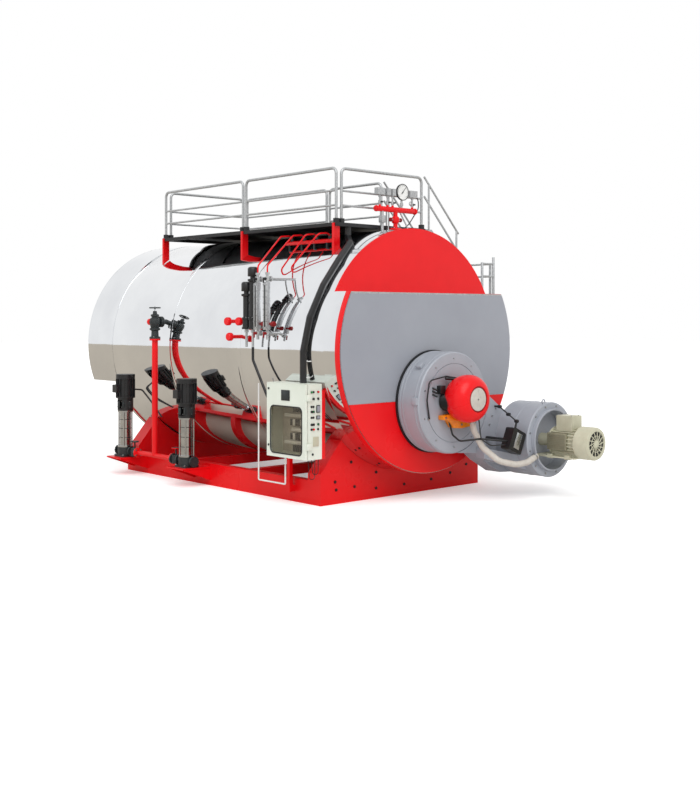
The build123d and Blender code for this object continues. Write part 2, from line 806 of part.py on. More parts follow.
def steam_header():
    """The stems on the drum, the cross pipe and the risers of its instruments."""
    seat = DRUM_TOP - STEM_FLANGE_T
    header = fitting((HEADER_LEFT, HEADER_Y, HEADER_Z), (HEADER_RIGHT, HEADER_Y, HEADER_Z), HEADER_R)
    header += fitting((0, HEADER_Y, seat), (0, HEADER_Y, HEADER_Z), STEM_R)
    header += fitting((0, HEADER_Y, seat), (0, HEADER_Y, DRUM_TOP + STEM_FLANGE_T), STEM_FLANGE_R)
    valve_z = DRUM_TOP + STEM_VALVE_RISE
    half = STEM_VALVE_H / 2
    header += fitting((0, HEADER_Y, valve_z - half), (0, HEADER_Y, valve_z + half), STEM_VALVE_R)
    header += fitting((-STEM_ARM, HEADER_Y, valve_z), (STEM_ARM, HEADER_Y, valve_z), STEM_ARM_R)
    side_foot = drum_height(SIDE_STEM_X) - STEM_FLANGE_T
    header += fitting((SIDE_STEM_X, HEADER_Y, side_foot), (SIDE_STEM_X, HEADER_Y, HEADER_Z), SIDE_STEM_R)
    for x, _ in SWITCHES:
        header += fitting((x, HEADER_Y, HEADER_Z), (x, HEADER_Y, HEADER_Z + SWITCH_RISE), COCK_R)
        cock_z = HEADER_Z + SWITCH_COCK_RISE
        cock = (x - 2 * COCK_R, HEADER_Y, cock_z), (x + 2 * COCK_R, HEADER_Y, cock_z)
        header += fitting(*cock, SWITCH_COCK_R)
    riser = fitting((GAUGE_X, HEADER_Y, HEADER_Z), (GAUGE_X, HEADER_Y, GAUGE_Z), COCK_R)
    header += riser - header_line(HEADER_Y - GAUGE_R, HEADER_Y + GAUGE_R, GAUGE_R)
    return header - drum_core(HEADER_Y - GAUGE_R, HEADER_Y + GAUGE_R)


def pressure_gauge():
    """The round dial gauge over the header, its face recessed in a bezel."""
    half = GAUGE_DEPTH / 2
    case = header_line(HEADER_Y - half, HEADER_Y + half, GAUGE_R)
    return case - header_line(HEADER_Y - half - 1, HEADER_Y - half + GAUGE_RECESS, GAUGE_R - GAUGE_BEZEL)


def pressure_switches():
    """Pressure switches on the header's short risers."""
    half = SWITCH_DEPTH / 2
    low = HEADER_Z + SWITCH_RISE
    cases = []
    for x, width in SWITCHES:
        case = block(x - width / 2, x + width / 2, HEADER_Y - half, HEADER_Y + half, low, low + SWITCH_H)
        cases.append(fillet(case.edges().filter_by(Axis.Z), SWITCH_DEPTH / 8))
    return joined(cases)


def drop_pipe_ends():
    """The lower ends of the four drop pipes: two on the columns, two on the drum."""
    drum_z = AXIS_Z + DROP_END_RISE
    ends = [(COLUMN_X, y, COLUMN_HIGH) for y in COLUMN_YS]
    spacing = COLUMN_YS[0] - COLUMN_YS[1]
    for i in (1, 2):
        ends.append((-drum_side(drum_z), COLUMN_YS[1] - i * spacing, drum_z))
    return ends


def vent_manifold():
    """The manifold pipe on the drum's shoulder, its valves and four drop pipes."""
    x = DECK_LEFT + MANIFOLD_INSET
    z = drum_height(x) + MANIFOLD_LIFT
    y1 = MANIFOLD_FRONT + MANIFOLD_LENGTH
    manifold = bar((x, MANIFOLD_FRONT, z), (x, y1, z), MANIFOLD_PIPE_R)
    ends = drop_pipe_ends()
    pitch = MANIFOLD_LENGTH / len(ends)
    core = drum_core(0, y1 + pitch)
    for i, end in enumerate(ends):
        y = y1 - (i + 0.5) * pitch
        manifold += bar((x, y + pitch / 4, AXIS_Z), (x, y + pitch / 4, z), MANIFOLD_PIPE_R / 2) - core
        manifold += bar((x, y, z), (x, y, z + VENT_VALVE_H), VENT_VALVE_R)
        high = z + DROP_RISE
        shoulder = (x - DROP_REACH, y, high)
        lead = (end[0], end[1], end[2] + DROP_REACH)
        route = [(x, y, z), (x, y, high), shoulder, lead, end]
        manifold += tube(route, DROP_PIPE_R, DROP_BEND) - core
    return manifold


def stop_valve(y, side):
    """A stop valve beside a pump's port, with its handwheel on top."""
    face = y + side * PORT_REACH
    end = face + side * STOP_VALVE_LENGTH
    middle = (face + end) / 2
    top = PORT_Z + STOP_STEM_H
    valve = fitting((PUMP_X, face, PORT_Z), (PUMP_X, end, PORT_Z), PORT_R)
    valve += fitting((PUMP_X, end, PORT_Z), (PUMP_X, end - side * PORT_FLANGE_T, PORT_Z), PORT_FLANGE_R)
    low = PORT_Z - STOP_VALVE_R
    valve += fitting((PUMP_X, middle, low), (PUMP_X, middle, PORT_Z + STOP_VALVE_R), STOP_VALVE_R)
    valve += fitting((PUMP_X, middle, PORT_Z), (PUMP_X, middle, top), STOP_STEM_R)
    return valve + fitting((PUMP_X, middle, top - STOP_WHEEL_T), (PUMP_X, middle, top), STOP_WHEEL_R)


def pump_bases():
    """Cast foot, ported chamber and stop valve of each pump."""
    pumps = []
    half = PUMP_FOOT / 2
    for y, side in zip(PUMP_YS, (1, -1)):
        foot = block(PUMP_X - half, PUMP_X + half, y - half, y + half, SHELF_Z, SHELF_Z + PUMP_FOOT_T)
        foot = fillet(foot.edges().filter_by(Axis.Z), PUMP_FOOT / 8)
        pump = foot + rod((PUMP_X, y, SHELF_Z), (PUMP_X, y, SLEEVE_LOW), PUMP_BASE_R)
        pump += fitting((PUMP_X, y - PORT_REACH, PORT_Z), (PUMP_X, y + PORT_REACH, PORT_Z), PORT_R)
        for end in (-1, 1):
            face = y + end * PORT_REACH
            back = face - end * PORT_FLANGE_T
            pump += fitting((PUMP_X, face, PORT_Z), (PUMP_X, back, PORT_Z), PORT_FLANGE_R)
        pumps.append(pump + stop_valve(y, side))
    return joined(pumps)


def pump_sleeves():
    """Stainless stage sleeve of each pump between collars, with its tie rods."""
    high = LANTERN_LOW
    ring = (COLLAR_R + SLEEVE_R) / 2
    sleeves = []
    for y in PUMP_YS:
        sleeve = rod((PUMP_X, y, SLEEVE_LOW), (PUMP_X, y, high), SLEEVE_R)
        sleeve += rod((PUMP_X, y, SLEEVE_LOW), (PUMP_X, y, SLEEVE_LOW + COLLAR_T), COLLAR_R)
        sleeve += rod((PUMP_X, y, high - COLLAR_T), (PUMP_X, y, high), COLLAR_R)
        for i in range(TIE_ROD_COUNT):
            angle = 2 * math.pi * (i + 0.5) / TIE_ROD_COUNT
            tie_x = PUMP_X + ring * math.cos(angle)
            tie_y = y + ring * math.sin(angle)
            sleeve += bar((tie_x, tie_y, SLEEVE_LOW), (tie_x, tie_y, high), TIE_ROD_R)
        sleeves.append(sleeve)
    return joined(sleeves)


def fins(count, inner, outer, thickness, length):
    """Radial fins about the Z axis."""
    fin = block(inner, outer, -thickness / 2, thickness / 2, 0, length)
    return joined(Rot(0, 0, 360 * i / count) * fin for i in range(count))


def pump_motor(y):
    """Lantern with open windows, ribbed motor and fan hood of one pump."""
    lantern = rod((PUMP_X, y, LANTERN_LOW), (PUMP_X, y, MOTOR_LOW), LANTERN_R)
    half = LANTERN_WINDOW / 2
    low = LANTERN_LOW + LANTERN_MARGIN
    high = MOTOR_LOW - LANTERN_MARGIN
    lantern -= block(PUMP_X - LANTERN_R, PUMP_X + LANTERN_R, y - half, y + half, low, high)
    lantern += rod((PUMP_X, y, LANTERN_LOW), (PUMP_X, y, MOTOR_LOW), COUPLING_R)
    top = MOTOR_LOW + MOTOR_H
    motor = rod((PUMP_X, y, MOTOR_LOW), (PUMP_X, y, top), MOTOR_CORE_R)
    motor += rod((PUMP_X, y, MOTOR_LOW), (PUMP_X, y, MOTOR_LOW + MOTOR_FLANGE_T), MOTOR_R)
    motor += rod((PUMP_X, y, top), (PUMP_X, y, top + FAN_HOOD_H), FAN_HOOD_R)
    ribs = fins(MOTOR_FIN_COUNT, MOTOR_CORE_R - 1, MOTOR_R, MOTOR_FIN_T, MOTOR_H)
    motor += Pos(PUMP_X, y, MOTOR_LOW) * ribs
    box_half = TERMINAL_BOX / 2
    box_low = MOTOR_LOW + (MOTOR_H - TERMINAL_BOX) / 2
    reach = PUMP_X - MOTOR_R - TERMINAL_OUT
    motor += block(reach, PUMP_X, y - box_half, y + box_half, box_low, box_low + TERMINAL_BOX)
    return lantern + motor


def feed_pipe():
    """Manifold between the pumps' stop valves, the riser beside the drum and its flanges."""
    y0 = PUMP_YS[0] + PORT_REACH + STOP_VALVE_LENGTH
    y1 = PUMP_YS[1] - PORT_REACH - STOP_VALVE_LENGTH
    line = fitting((PUMP_X, y0, PORT_Z), (PUMP_X, y1, PORT_Z), PIPE_R)
    line += fitting((PUMP_X, y0, PORT_Z), (PUMP_X, y0 + PORT_FLANGE_T, PORT_Z), PORT_FLANGE_R)
    line += fitting((PUMP_X, y1 - PORT_FLANGE_T, PORT_Z), (PUMP_X, y1, PORT_Z), PORT_FLANGE_R)
    line += fitting((PUMP_X, RISER_Y, PORT_Z), (PUMP_X, RISER_Y, RISER_TOP), RISER_R)
    return line + fitting((PUMP_X, RISER_Y, RISER_TOP - FLANGE_T), (PUMP_X, RISER_Y, RISER_TOP), FLANGE_R)


def feed_valve():
    """Stop valve on the riser, with its bonnet, spindle and branch into the drum."""
    belly = INLET_Z - RISER_TOP
    slices = [
        (FLANGE_R, FLANGE_T),
        (VALVE_NECK_R, belly - FLANGE_T - VALVE_NECK_R),
        (VALVE_BODY_R, 2 * VALVE_NECK_R),
        (VALVE_NECK_R, VALVE_H - belly - VALVE_NECK_R - FLANGE_T),
        (BONNET_R, FLANGE_T),
        (SPINDLE_R, WHEEL_Z + WHEEL_HUB_H - VALVE_TOP),
    ]
    body = stack((PUMP_X, RISER_Y, RISER_TOP), slices)
    flange_x = PUMP_X + BRANCH_FLANGE_OUT
    branch = fitting((PUMP_X, RISER_Y, INLET_Z), (-CLAD_R / 2, RISER_Y, INLET_Z), BRANCH_R)
    branch += fitting((flange_x, RISER_Y, INLET_Z), (flange_x + FLANGE_T, RISER_Y, INLET_Z), FLANGE_R)
    plug_y = RISER_Y + VALVE_BODY_R + FLANGE_T
    branch += fitting((PUMP_X, RISER_Y, INLET_Z), (PUMP_X, plug_y, INLET_Z), BRANCH_R)
    return body + branch - drum_core(RISER_Y - 2 * FLANGE_R, RISER_Y + 2 * FLANGE_R)


def feed_handwheel():
    """Handwheel of the stop valve on its spindle."""
    centre = (PUMP_X, RISER_Y, WHEEL_Z)
    half = WHEEL_RIM_R
    low, high = (PUMP_X, RISER_Y, WHEEL_Z - half), (PUMP_X, RISER_Y, WHEEL_Z + half)
    wheel = bar(low, high, WHEEL_R, WHEEL_SIDES) - bar(low, high, WHEEL_R - 2 * half, WHEEL_SIDES)
    wheel += fitting(low, high, WHEEL_HUB_R)
    reach = WHEEL_R - half
    for run in (Vector(reach, 0, 0), Vector(0, reach, 0)):
        wheel += bar(tuple(Vector(*centre) - run), tuple(Vector(*centre) + run), SPOKE_R)
    clear = SPINDLE_R + HUB_CLEAR
    return wheel - fitting((PUMP_X, RISER_Y, WHEEL_Z - WHEEL_R), (PUMP_X, RISER_Y, WHEEL_Z + WHEEL_R), clear)


def branch_to_drum(x, y, z, radius):
    """A level pipe from a point beside the drum to its cladding."""
    branch = fitting((x, y, z), (-CLAD_R / 2, y, z), radius)
    return branch - drum_core(y - 2 * radius, y + 2 * radius)


def level_column(y):
    """One sight column: a tube with branches into the drum and a flat gauge body on it."""
    column = fitting((COLUMN_X, y, COLUMN_LOW), (COLUMN_X, y, COLUMN_HIGH), COLUMN_R)
    for z in (COLUMN_LOW + COLUMN_LOW_BRANCH, COLUMN_HIGH - COLUMN_HIGH_BRANCH):
        column += branch_to_drum(COLUMN_X, y, z, COLUMN_BRANCH_R)
    half = GAUGE_BODY_W / 2
    low = COLUMN_LOW + GAUGE_BODY_MARGIN
    high = COLUMN_HIGH - GAUGE_BODY_MARGIN
    face_x = COLUMN_X - GAUGE_BODY_T
    column += block(face_x, COLUMN_X, y - half, y + half, low, high)
    slot = SIGHT_W / 2
    return column - block(face_x - 1, face_x + SIGHT_T, y - slot, y + slot, low + SIGHT_W, high - SIGHT_W)


def level_probe(y, top_rise):
    """One level probe: foot with its branch, slim body, collar, neck and cap, and a drain."""
    height = AXIS_Z + top_rise - PROBE_FOOT_Z
    body_h = height - PROBE_FOOT_H - PROBE_COLLAR_H - PROBE_NECK_H - PROBE_CAP_H
    slices = [
        (PROBE_FOOT_R, PROBE_FOOT_H),
        (PROBE_R, body_h),
        (PROBE_CAP_R, PROBE_COLLAR_H),
        (PROBE_NECK_R, PROBE_NECK_H),
        (PROBE_CAP_R, PROBE_CAP_H),
    ]
    probe = stack((PROBE_X, y, PROBE_FOOT_Z), slices)
    probe += branch_to_drum(PROBE_X, y, PROBE_FOOT_Z + PROBE_BRANCH_RISE, PROBE_BRANCH_R)
    return probe + fitting((PROBE_X, y, PROBE_FOOT_Z - DRAIN_LENGTH), (PROBE_X, y, PROBE_FOOT_Z), DRAIN_R)


def pipe_end_caps():
    """Round red caps: three on stubs from the drum, one on the feed valve."""
    caps = []
    for y, rise in END_CAP_PLACES:
        z = AXIS_Z + rise
        cap = fitting((PROBE_X, y, z), (PROBE_X - END_CAP_T, y, z), END_CAP_R)
        caps.append(cap + branch_to_drum(PROBE_X, y, z, END_CAP_STUB_R))
    seat = RISER_Y + VALVE_BODY_R + FLANGE_T
    caps.append(fitting((PUMP_X, seat, INLET_Z), (PUMP_X, seat + END_CAP_T, INLET_Z), END_CAP_R - SPOKE_R))
    return joined(caps)


def cabinet_box():
    """The control cabinet, open towards its door."""
    s = CAB_SHEET
    outer = block(CAB_FACE_X, CAB_BACK_X, CAB_FRONT, CAB_REAR, CAB_LOW, CAB_HIGH)
    front, rear = CAB_FRONT + s, CAB_REAR - s
    return outer - block(CAB_FACE_X - 1, CAB_BACK_X - s, front, rear, CAB_LOW + s, CAB_HIGH - s)


def cabinet_gear():
    """Mounting plate with rows of switchgear on the cabinet's back wall."""
    x1 = CAB_BACK_X - CAB_SHEET
    plate_x = x1 - GEAR_PLATE_T
    y0 = CAB_FRONT + GEAR_MARGIN
    y1 = CAB_REAR - GEAR_MARGIN
    gear = block(plate_x, x1, y0, y1, CAB_LOW + GEAR_MARGIN, CAB_HIGH - GEAR_MARGIN)
    row_end = y0 + GEAR_SHARE * (y1 - y0)
    pitch = (row_end - y0) / GEAR_MODULES
    for row in range(GEAR_ROWS):
        z = CAB_LOW + WINDOW_SILL + (row + 0.5) * WINDOW_H / GEAR_ROWS
        for i in range(GEAR_MODULES):
            depth = GEAR_DEPTH * (0.8 + 0.2 * ((i + row) % 2))
            y = y0 + i * pitch
            half = GEAR_ROW_H / 2
            gear += block(plate_x - depth, plate_x, y, y + pitch - 4, z - half, z + half)
    return gear


def window_face(margin):
    """The rounded window outline on the door, seen from outside."""
    width = CAB_WIDTH - 2 * WINDOW_MARGIN - 2 * margin
    height = WINDOW_H - 2 * margin
    centre = (CAB_FRONT + CAB_WIDTH / 2, CAB_LOW + WINDOW_SILL + WINDOW_H / 2)
    plane = Plane(origin=(0, *centre), x_dir=(0, 1, 0), z_dir=(1, 0, 0))
    return plane * RectangleRounded(width, height, WINDOW_CORNER - margin)


def hinge_place():
    """The door hinge's axis, in front of the door's edge at half its thickness."""
    return DOOR_IN_X - DOOR_T / 2, CAB_FRONT - HINGE_OUT


def hinge_heights():
    """The foot of the lower knuckle of each of the two hinges."""
    return CAB_LOW + HINGE_INSET, CAB_HIGH - HINGE_INSET - 2 * KNUCKLE_H


def cabinet_door():
    """The cabinet's door with its window cut through and its hinge knuckles."""
    x0 = DOOR_IN_X - DOOR_T
    panel = block(x0, DOOR_IN_X, CAB_FRONT, CAB_REAR, CAB_LOW, CAB_HIGH)
    x, y = hinge_place()
    web = KNUCKLE_WEB / 2
    for z in hinge_heights():
        low = z + KNUCKLE_H + HUB_CLEAR
        high = z + 2 * KNUCKLE_H
        panel += rod((x, y, low), (x, y, high), KNUCKLE_R) + block(x - web, x + web, y, CAB_FRONT, low, high)
        panel -= rod((x, y, low - 1), (x, y, high + 1), HINGE_PIN_R + HUB_CLEAR)
    return panel - extrude(Pos(x0 - 1, 0, 0) * window_face(0), DOOR_T + 2)


def cabinet_window():
    """The smoked pane in the door."""
    return extrude(Pos(DOOR_IN_X - DOOR_T / 2, 0, 0) * window_face(GLASS_CLEAR), GLASS_T)


def cabinet_hinges():
    """Fixed hinge halves on the cabinet's side, each with its pin."""
    x, y = hinge_place()
    half = HINGE_LEAF_T / 2
    leaf_x = CAB_FACE_X + HINGE_LEAF
    halves = []
    for z in hinge_heights():
        knuckle = rod((x, y, z), (x, y, z + KNUCKLE_H), KNUCKLE_R)
        arm = block(x, leaf_x, y - half, y + half, z, z + KNUCKLE_H)
        leaf = block(CAB_FACE_X, leaf_x, y - half, CAB_FRONT, z, z + KNUCKLE_H)
        pin = rod((x, y, z), (x, y, z + 2 * KNUCKLE_H), HINGE_PIN_R)
        halves.append(knuckle + arm + leaf + pin)
    return joined(halves)


def cabinet_post():
    """The frame that carries the cabinet: two uprights, a rail and a foot on the skid."""
    x0 = CAB_BACK_X
    x1 = x0 + POST_WIDTH
    top = CAB_HIGH - POST_TOP_DROP
    y_rear = CAB_REAR - POST_INSET
    frame = block(x0, x1, y_rear - POST_WIDTH, y_rear, POST_FOOT_Z, top)
    frame += block(x0, x1, CAB_FRONT, CAB_FRONT + POST_WIDTH, CAB_LOW, top)
    frame += block(x0, x1, CAB_FRONT, y_rear, CAB_LOW, CAB_LOW + POST_WIDTH)
    foot_high = POST_FOOT_Z + POST_FOOT_H
    frame += block(x0, -SKID_HALF, y_rear - POST_WIDTH, y_rear, POST_FOOT_Z, foot_high)
    return frame - drum_core(CAB_FRONT - POST_WIDTH, CAB_REAR)


def bundle_route():
    """The cable bundle's way over the drum, each turn on the cladding and the ends square."""
    turns = []
    for (angle, y), (other, _) in zip(BUNDLE_TURNS, BUNDLE_TURNS[1:]):
        half_turn = math.radians(other - angle) / 2
        reach = (CLAD_R + BUNDLE_R + BUNDLE_CLEAR) / math.cos(half_turn)
        tilt = math.radians(angle)
        turns.append((-reach * math.cos(tilt), y, AXIS_Z + reach * math.sin(tilt)))
    angle, y = BUNDLE_TURNS[-1]
    reach = CLAD_R + BUNDLE_R + BUNDLE_CLEAR
    tilt = math.radians(angle)
    last = (-reach * math.cos(tilt), y, AXIS_Z + reach * math.sin(tilt))
    start = (turns[0][0], BUNDLE_TURNS[0][1], CAB_HIGH)
    return [start, *turns, last, (last[0], last[1], DECK_UNDER)]


def cable_bundle():
    """The cables clipped over the drum, and the lead from the probes to the cabinet."""
    bundle = tube(bundle_route(), BUNDLE_R, BUNDLE_R) - drum_core(DRUM_FRONT, DRUM_BACK)
    lead_y = PROBE_YS[1]
    foot = (PROBE_X, lead_y, PROBE_FOOT_Z - DRAIN_LENGTH)
    below = (PROBE_X, lead_y, foot[2] - 2 * LEAD_BEND)
    entry_z = CAB_HIGH - CAB_DEPTH
    entry = (CONDUIT_X, CAB_REAR, entry_z)
    before = (CONDUIT_X, CAB_REAR + 2 * LEAD_BEND, entry_z)
    return joined([bundle, tube([foot, below, before, entry], LEAD_R, LEAD_BEND)])


def cabinet_conduit():
    """The white conduit that loops under the cabinet."""
    route = [
        (CONDUIT_X, CONDUIT_Y, CONDUIT_HIGH),
        (CONDUIT_X, CONDUIT_Y, CONDUIT_LOW),
        (CONDUIT_X, CONDUIT_ENTRY_Y, CONDUIT_LOW),
        (CONDUIT_X, CONDUIT_ENTRY_Y, CAB_LOW),
    ]
    return tube(route, CONDUIT_R, CONDUIT_BEND)


def burner_flange():
    """The gasket ring and flange on the boiler's front."""
    return rod((0, FACE_Y, BURNER_Z), (0, HOUSING_Y, BURNER_Z), GASKET_R)


def burner_housing():
    """The round burner housing with a bevelled edge and a grooved front."""
    housing = rod((0, HOUSING_Y, BURNER_Z), (0, BURNER_FACE, BURNER_Z), HOUSING_R)
    housing = chamfer(housing.edges().filter_by(GeomType.CIRCLE).sort_by(Axis.Y)[0], HOUSING_EDGE)
    floor = BURNER_FACE + GROOVE_DEPTH
    groove = rod((0, BURNER_FACE - 1, BURNER_Z), (0, floor, BURNER_Z), GROOVE_R)
    groove -= rod((0, BURNER_FACE - 1, BURNER_Z), (0, floor, BURNER_Z), GROOVE_R - GROOVE_W)
    return housing - groove


def bulb(margin):
    """The burner cap's bulging form in a few steps, grown by a margin."""
    profile = [(0, 0), (CAP_NECK_R + margin, 0)]
    for i in range(1, CAP_STEPS + 1):
        turn = math.pi / 2 * i / CAP_STEPS
        radius = CAP_NECK_R + (CAP_R - CAP_NECK_R) * math.sin(turn)
        profile.append((radius + margin, CAP_BULGE * (1 - math.cos(turn))))
    for i in range(1, CAP_STEPS + 1):
        turn = math.pi / 2 * i / CAP_STEPS
        radius = CAP_NOSE_R + (CAP_R - CAP_NOSE_R) * math.cos(turn)
        profile.append((radius + margin, CAP_BULGE + (CAP_LENGTH - CAP_BULGE) * math.sin(turn)))
    face = make_face(Polyline(*profile, (0, CAP_LENGTH), close=True))
    seat = Plane(origin=(0, BURNER_FACE, CAP_Z), z_dir=(0, -1, 0))
    return seat * revolve(Plane.XZ * face, axis=Axis.Z)


def burner_bracket():
    """The orange linkage strap on the burner's front, below the cap."""
    low = CAP_Z - CAP_R - BRACKET_T
    high = CAP_Z - CAP_R / 2
    outline = Polyline(
        (-CAP_R, high),
        (-CAP_NOSE_R, high),
        (0, low + BRACKET_T),
        (CAP_R, low + BRACKET_T),
        (CAP_R, low),
        (0, low),
        (-CAP_NOSE_R, high - BRACKET_T),
        (-CAP_R, high - BRACKET_T),
        close=True,
    )
    plane = Plane(origin=(0, BURNER_FACE, 0), x_dir=(1, 0, 0), z_dir=(0, -1, 0))
    return extrude(plane * make_face(outline), BRACKET_T) - bulb(SEAT_GAP)


def burner_hose():
    """The off-white air hose from under the cap to the fan's inlet ring."""
    ring_y = SCROLL_FRONT - HOSE_R - SEAT_GAP
    start_y = BURNER_FACE - CAP_BULGE + HOSE_R
    route = [
        (HOSE_START_X, start_y, CAP_Z),
        (HOSE_START_X, start_y, BURNER_Z - 235),
        (235, start_y - 150, BURNER_Z - 530),
        (450, ring_y, BURNER_Z - 595),
        (FAN_X - INLET_R / 2, ring_y, FAN_Z - INLET_R / 3),
    ]
    hose = tube(route, HOSE_R, HOSE_BEND) - bulb(SEAT_GAP)
    return hose - fan_line(INLET_FRONT - SCROLL_DEPTH, SCROLL_FRONT, INLET_R + SEAT_GAP)


def fan_line(y0, y1, radius):
    """A bar along the fan's axis."""
    return rod((FAN_X, y0, FAN_Z), (FAN_X, y1, FAN_Z), radius)


def fan_scroll():
    """The fan's case with its open inlet ring in front."""
    case = fan_line(SCROLL_FRONT, BURNER_FACE, SCROLL_R)
    case += fan_line(INLET_FRONT, SCROLL_FRONT, INLET_R)
    return case - fan_line(INLET_FRONT - 1, INLET_FLOOR, INLET_R - INLET_WALL)


def air_duct():
    """The casing between the burner and the fan, and the flared chute in front of it."""
    crown = (DUCT_CROWN_X, BURNER_Z + DUCT_CROWN_RISE)
    heel = (DUCT_START_X, BURNER_Z - HOUSING_R)
    throat = [(x, BURNER_Z - drop) for x, drop in DUCT_THROAT]
    fan_side = [(FAN_X, FAN_Z - DUCT_FAN_DROP), (FAN_X, FAN_Z + DUCT_FAN_RISE)]
    outline = Polyline(heel, *throat, *fan_side, crown, close=True)
    plane = Plane(origin=(0, BURNER_FACE, 0), x_dir=(1, 0, 0), z_dir=(0, -1, 0))
    casing = extrude(plane * make_face(outline), -DUCT_DEPTH)
    start = Plane(origin=(CHUTE_X, BURNER_FACE, BURNER_Z - CHUTE_LOW), x_dir=(0, -1, 0), z_dir=(-1, 0, 0))
    mouth = Plane(origin=(FAN_X, BURNER_FACE, FAN_Z - CHUTE_MOUTH_LOW), x_dir=(0, -1, 0), z_dir=(-1, 0, 0))
    low_corner = (Align.MIN, Align.MIN)
    sections = [
        start * Rectangle(CHUTE_DEPTH, CHUTE_HEIGHT, align=low_corner),
        mouth * Rectangle(SCROLL_DEPTH, CHUTE_MOUTH_HEIGHT, align=low_corner),
    ]
    duct = casing + loft(sections, ruled=True)
    duct -= rod((0, BURNER_FACE - 1, BURNER_Z), (0, HOUSING_Y, BURNER_Z), HOUSING_R + SEAT_GAP)
    return duct - fan_line(SCROLL_FRONT - 1, BURNER_FACE, SCROLL_R + SEAT_GAP)


def fan_motor():
    """The fan's ribbed motor on its foot plate, with neck and terminal box."""
    motor = fan_line(MOTOR_FRONT, MOTOR_BACK, FAN_CORE_R)
    motor += fan_line(MOTOR_BACK, INLET_FLOOR, MOTOR_NECK_R)
    for y in (MOTOR_BACK, MOTOR_FRONT + FAN_END_T):
        motor += fan_line(y - FAN_END_T, y, FAN_MOTOR_R)
    ribs = fins(FAN_FIN_COUNT, FAN_CORE_R - 1, FAN_MOTOR_R, FAN_FIN_T, FAN_MOTOR_LENGTH)
    motor += Plane(origin=(FAN_X, MOTOR_BACK, FAN_Z), z_dir=(0, -1, 0)) * ribs
    half = FOOT_PLATE_WIDTH / 2
    low = FAN_Z - FAN_MOTOR_R - FOOT_PLATE_T
    high = low + 4 * FOOT_PLATE_T
    motor += block(FAN_X - half, FAN_X + half, MOTOR_FRONT, INLET_FLOOR, low, low + FOOT_PLATE_T)
    for x in (FAN_X - half / 2, FAN_X + half / 2):
        foot = block(x - FOOT_PLATE_T, x + FOOT_PLATE_T, MOTOR_FRONT, MOTOR_BACK, low, high)
        motor += foot
    width, length, height = FAN_BOX
    box_y = (MOTOR_FRONT + MOTOR_BACK - length) / 2
    box_x = FAN_X - width / 2
    box_z = FAN_Z + FAN_CORE_R
    return motor + block(box_x, box_x + width, box_y, box_y + length, box_z - FOOT_PLATE_T, box_z + height)


def motor_cowl():
    """The cowl over the motor's cooling fan, bevelled at its end and slotted."""
    cowl = fan_line(COWL_FRONT, MOTOR_FRONT, COWL_R)
    cowl = chamfer(cowl.edges().filter_by(GeomType.CIRCLE).sort_by(Axis.Y)[0], COWL_EDGE)
    slots = fins(COWL_SLOTS, COWL_SLOT_IN, COWL_SLOT_OUT, COWL_SLOT_W, COWL_SLOT_DEPTH)
    return cowl - Plane(origin=(FAN_X, COWL_FRONT + COWL_SLOT_DEPTH, FAN_Z), z_dir=(0, -1, 0)) * slots


def servo_box():
    """The black actuator box on the duct, leaning, on a short neck."""
    width, depth, height = SERVO
    back = BURNER_FACE - SERVO_STANDOFF
    case = fillet(Box(width, depth, height).edges().filter_by(Axis.Y), width / 10)
    case = Pos(SERVO_X, back - depth / 2, FAN_Z + SERVO_RISE) * Rot(0, SERVO_TILT, 0) * case
    neck = rod((SERVO_X, back, FAN_Z + SERVO_RISE), (SERVO_X, BURNER_FACE, FAN_Z + SERVO_RISE), SERVO_NECK_R)
    return case + neck


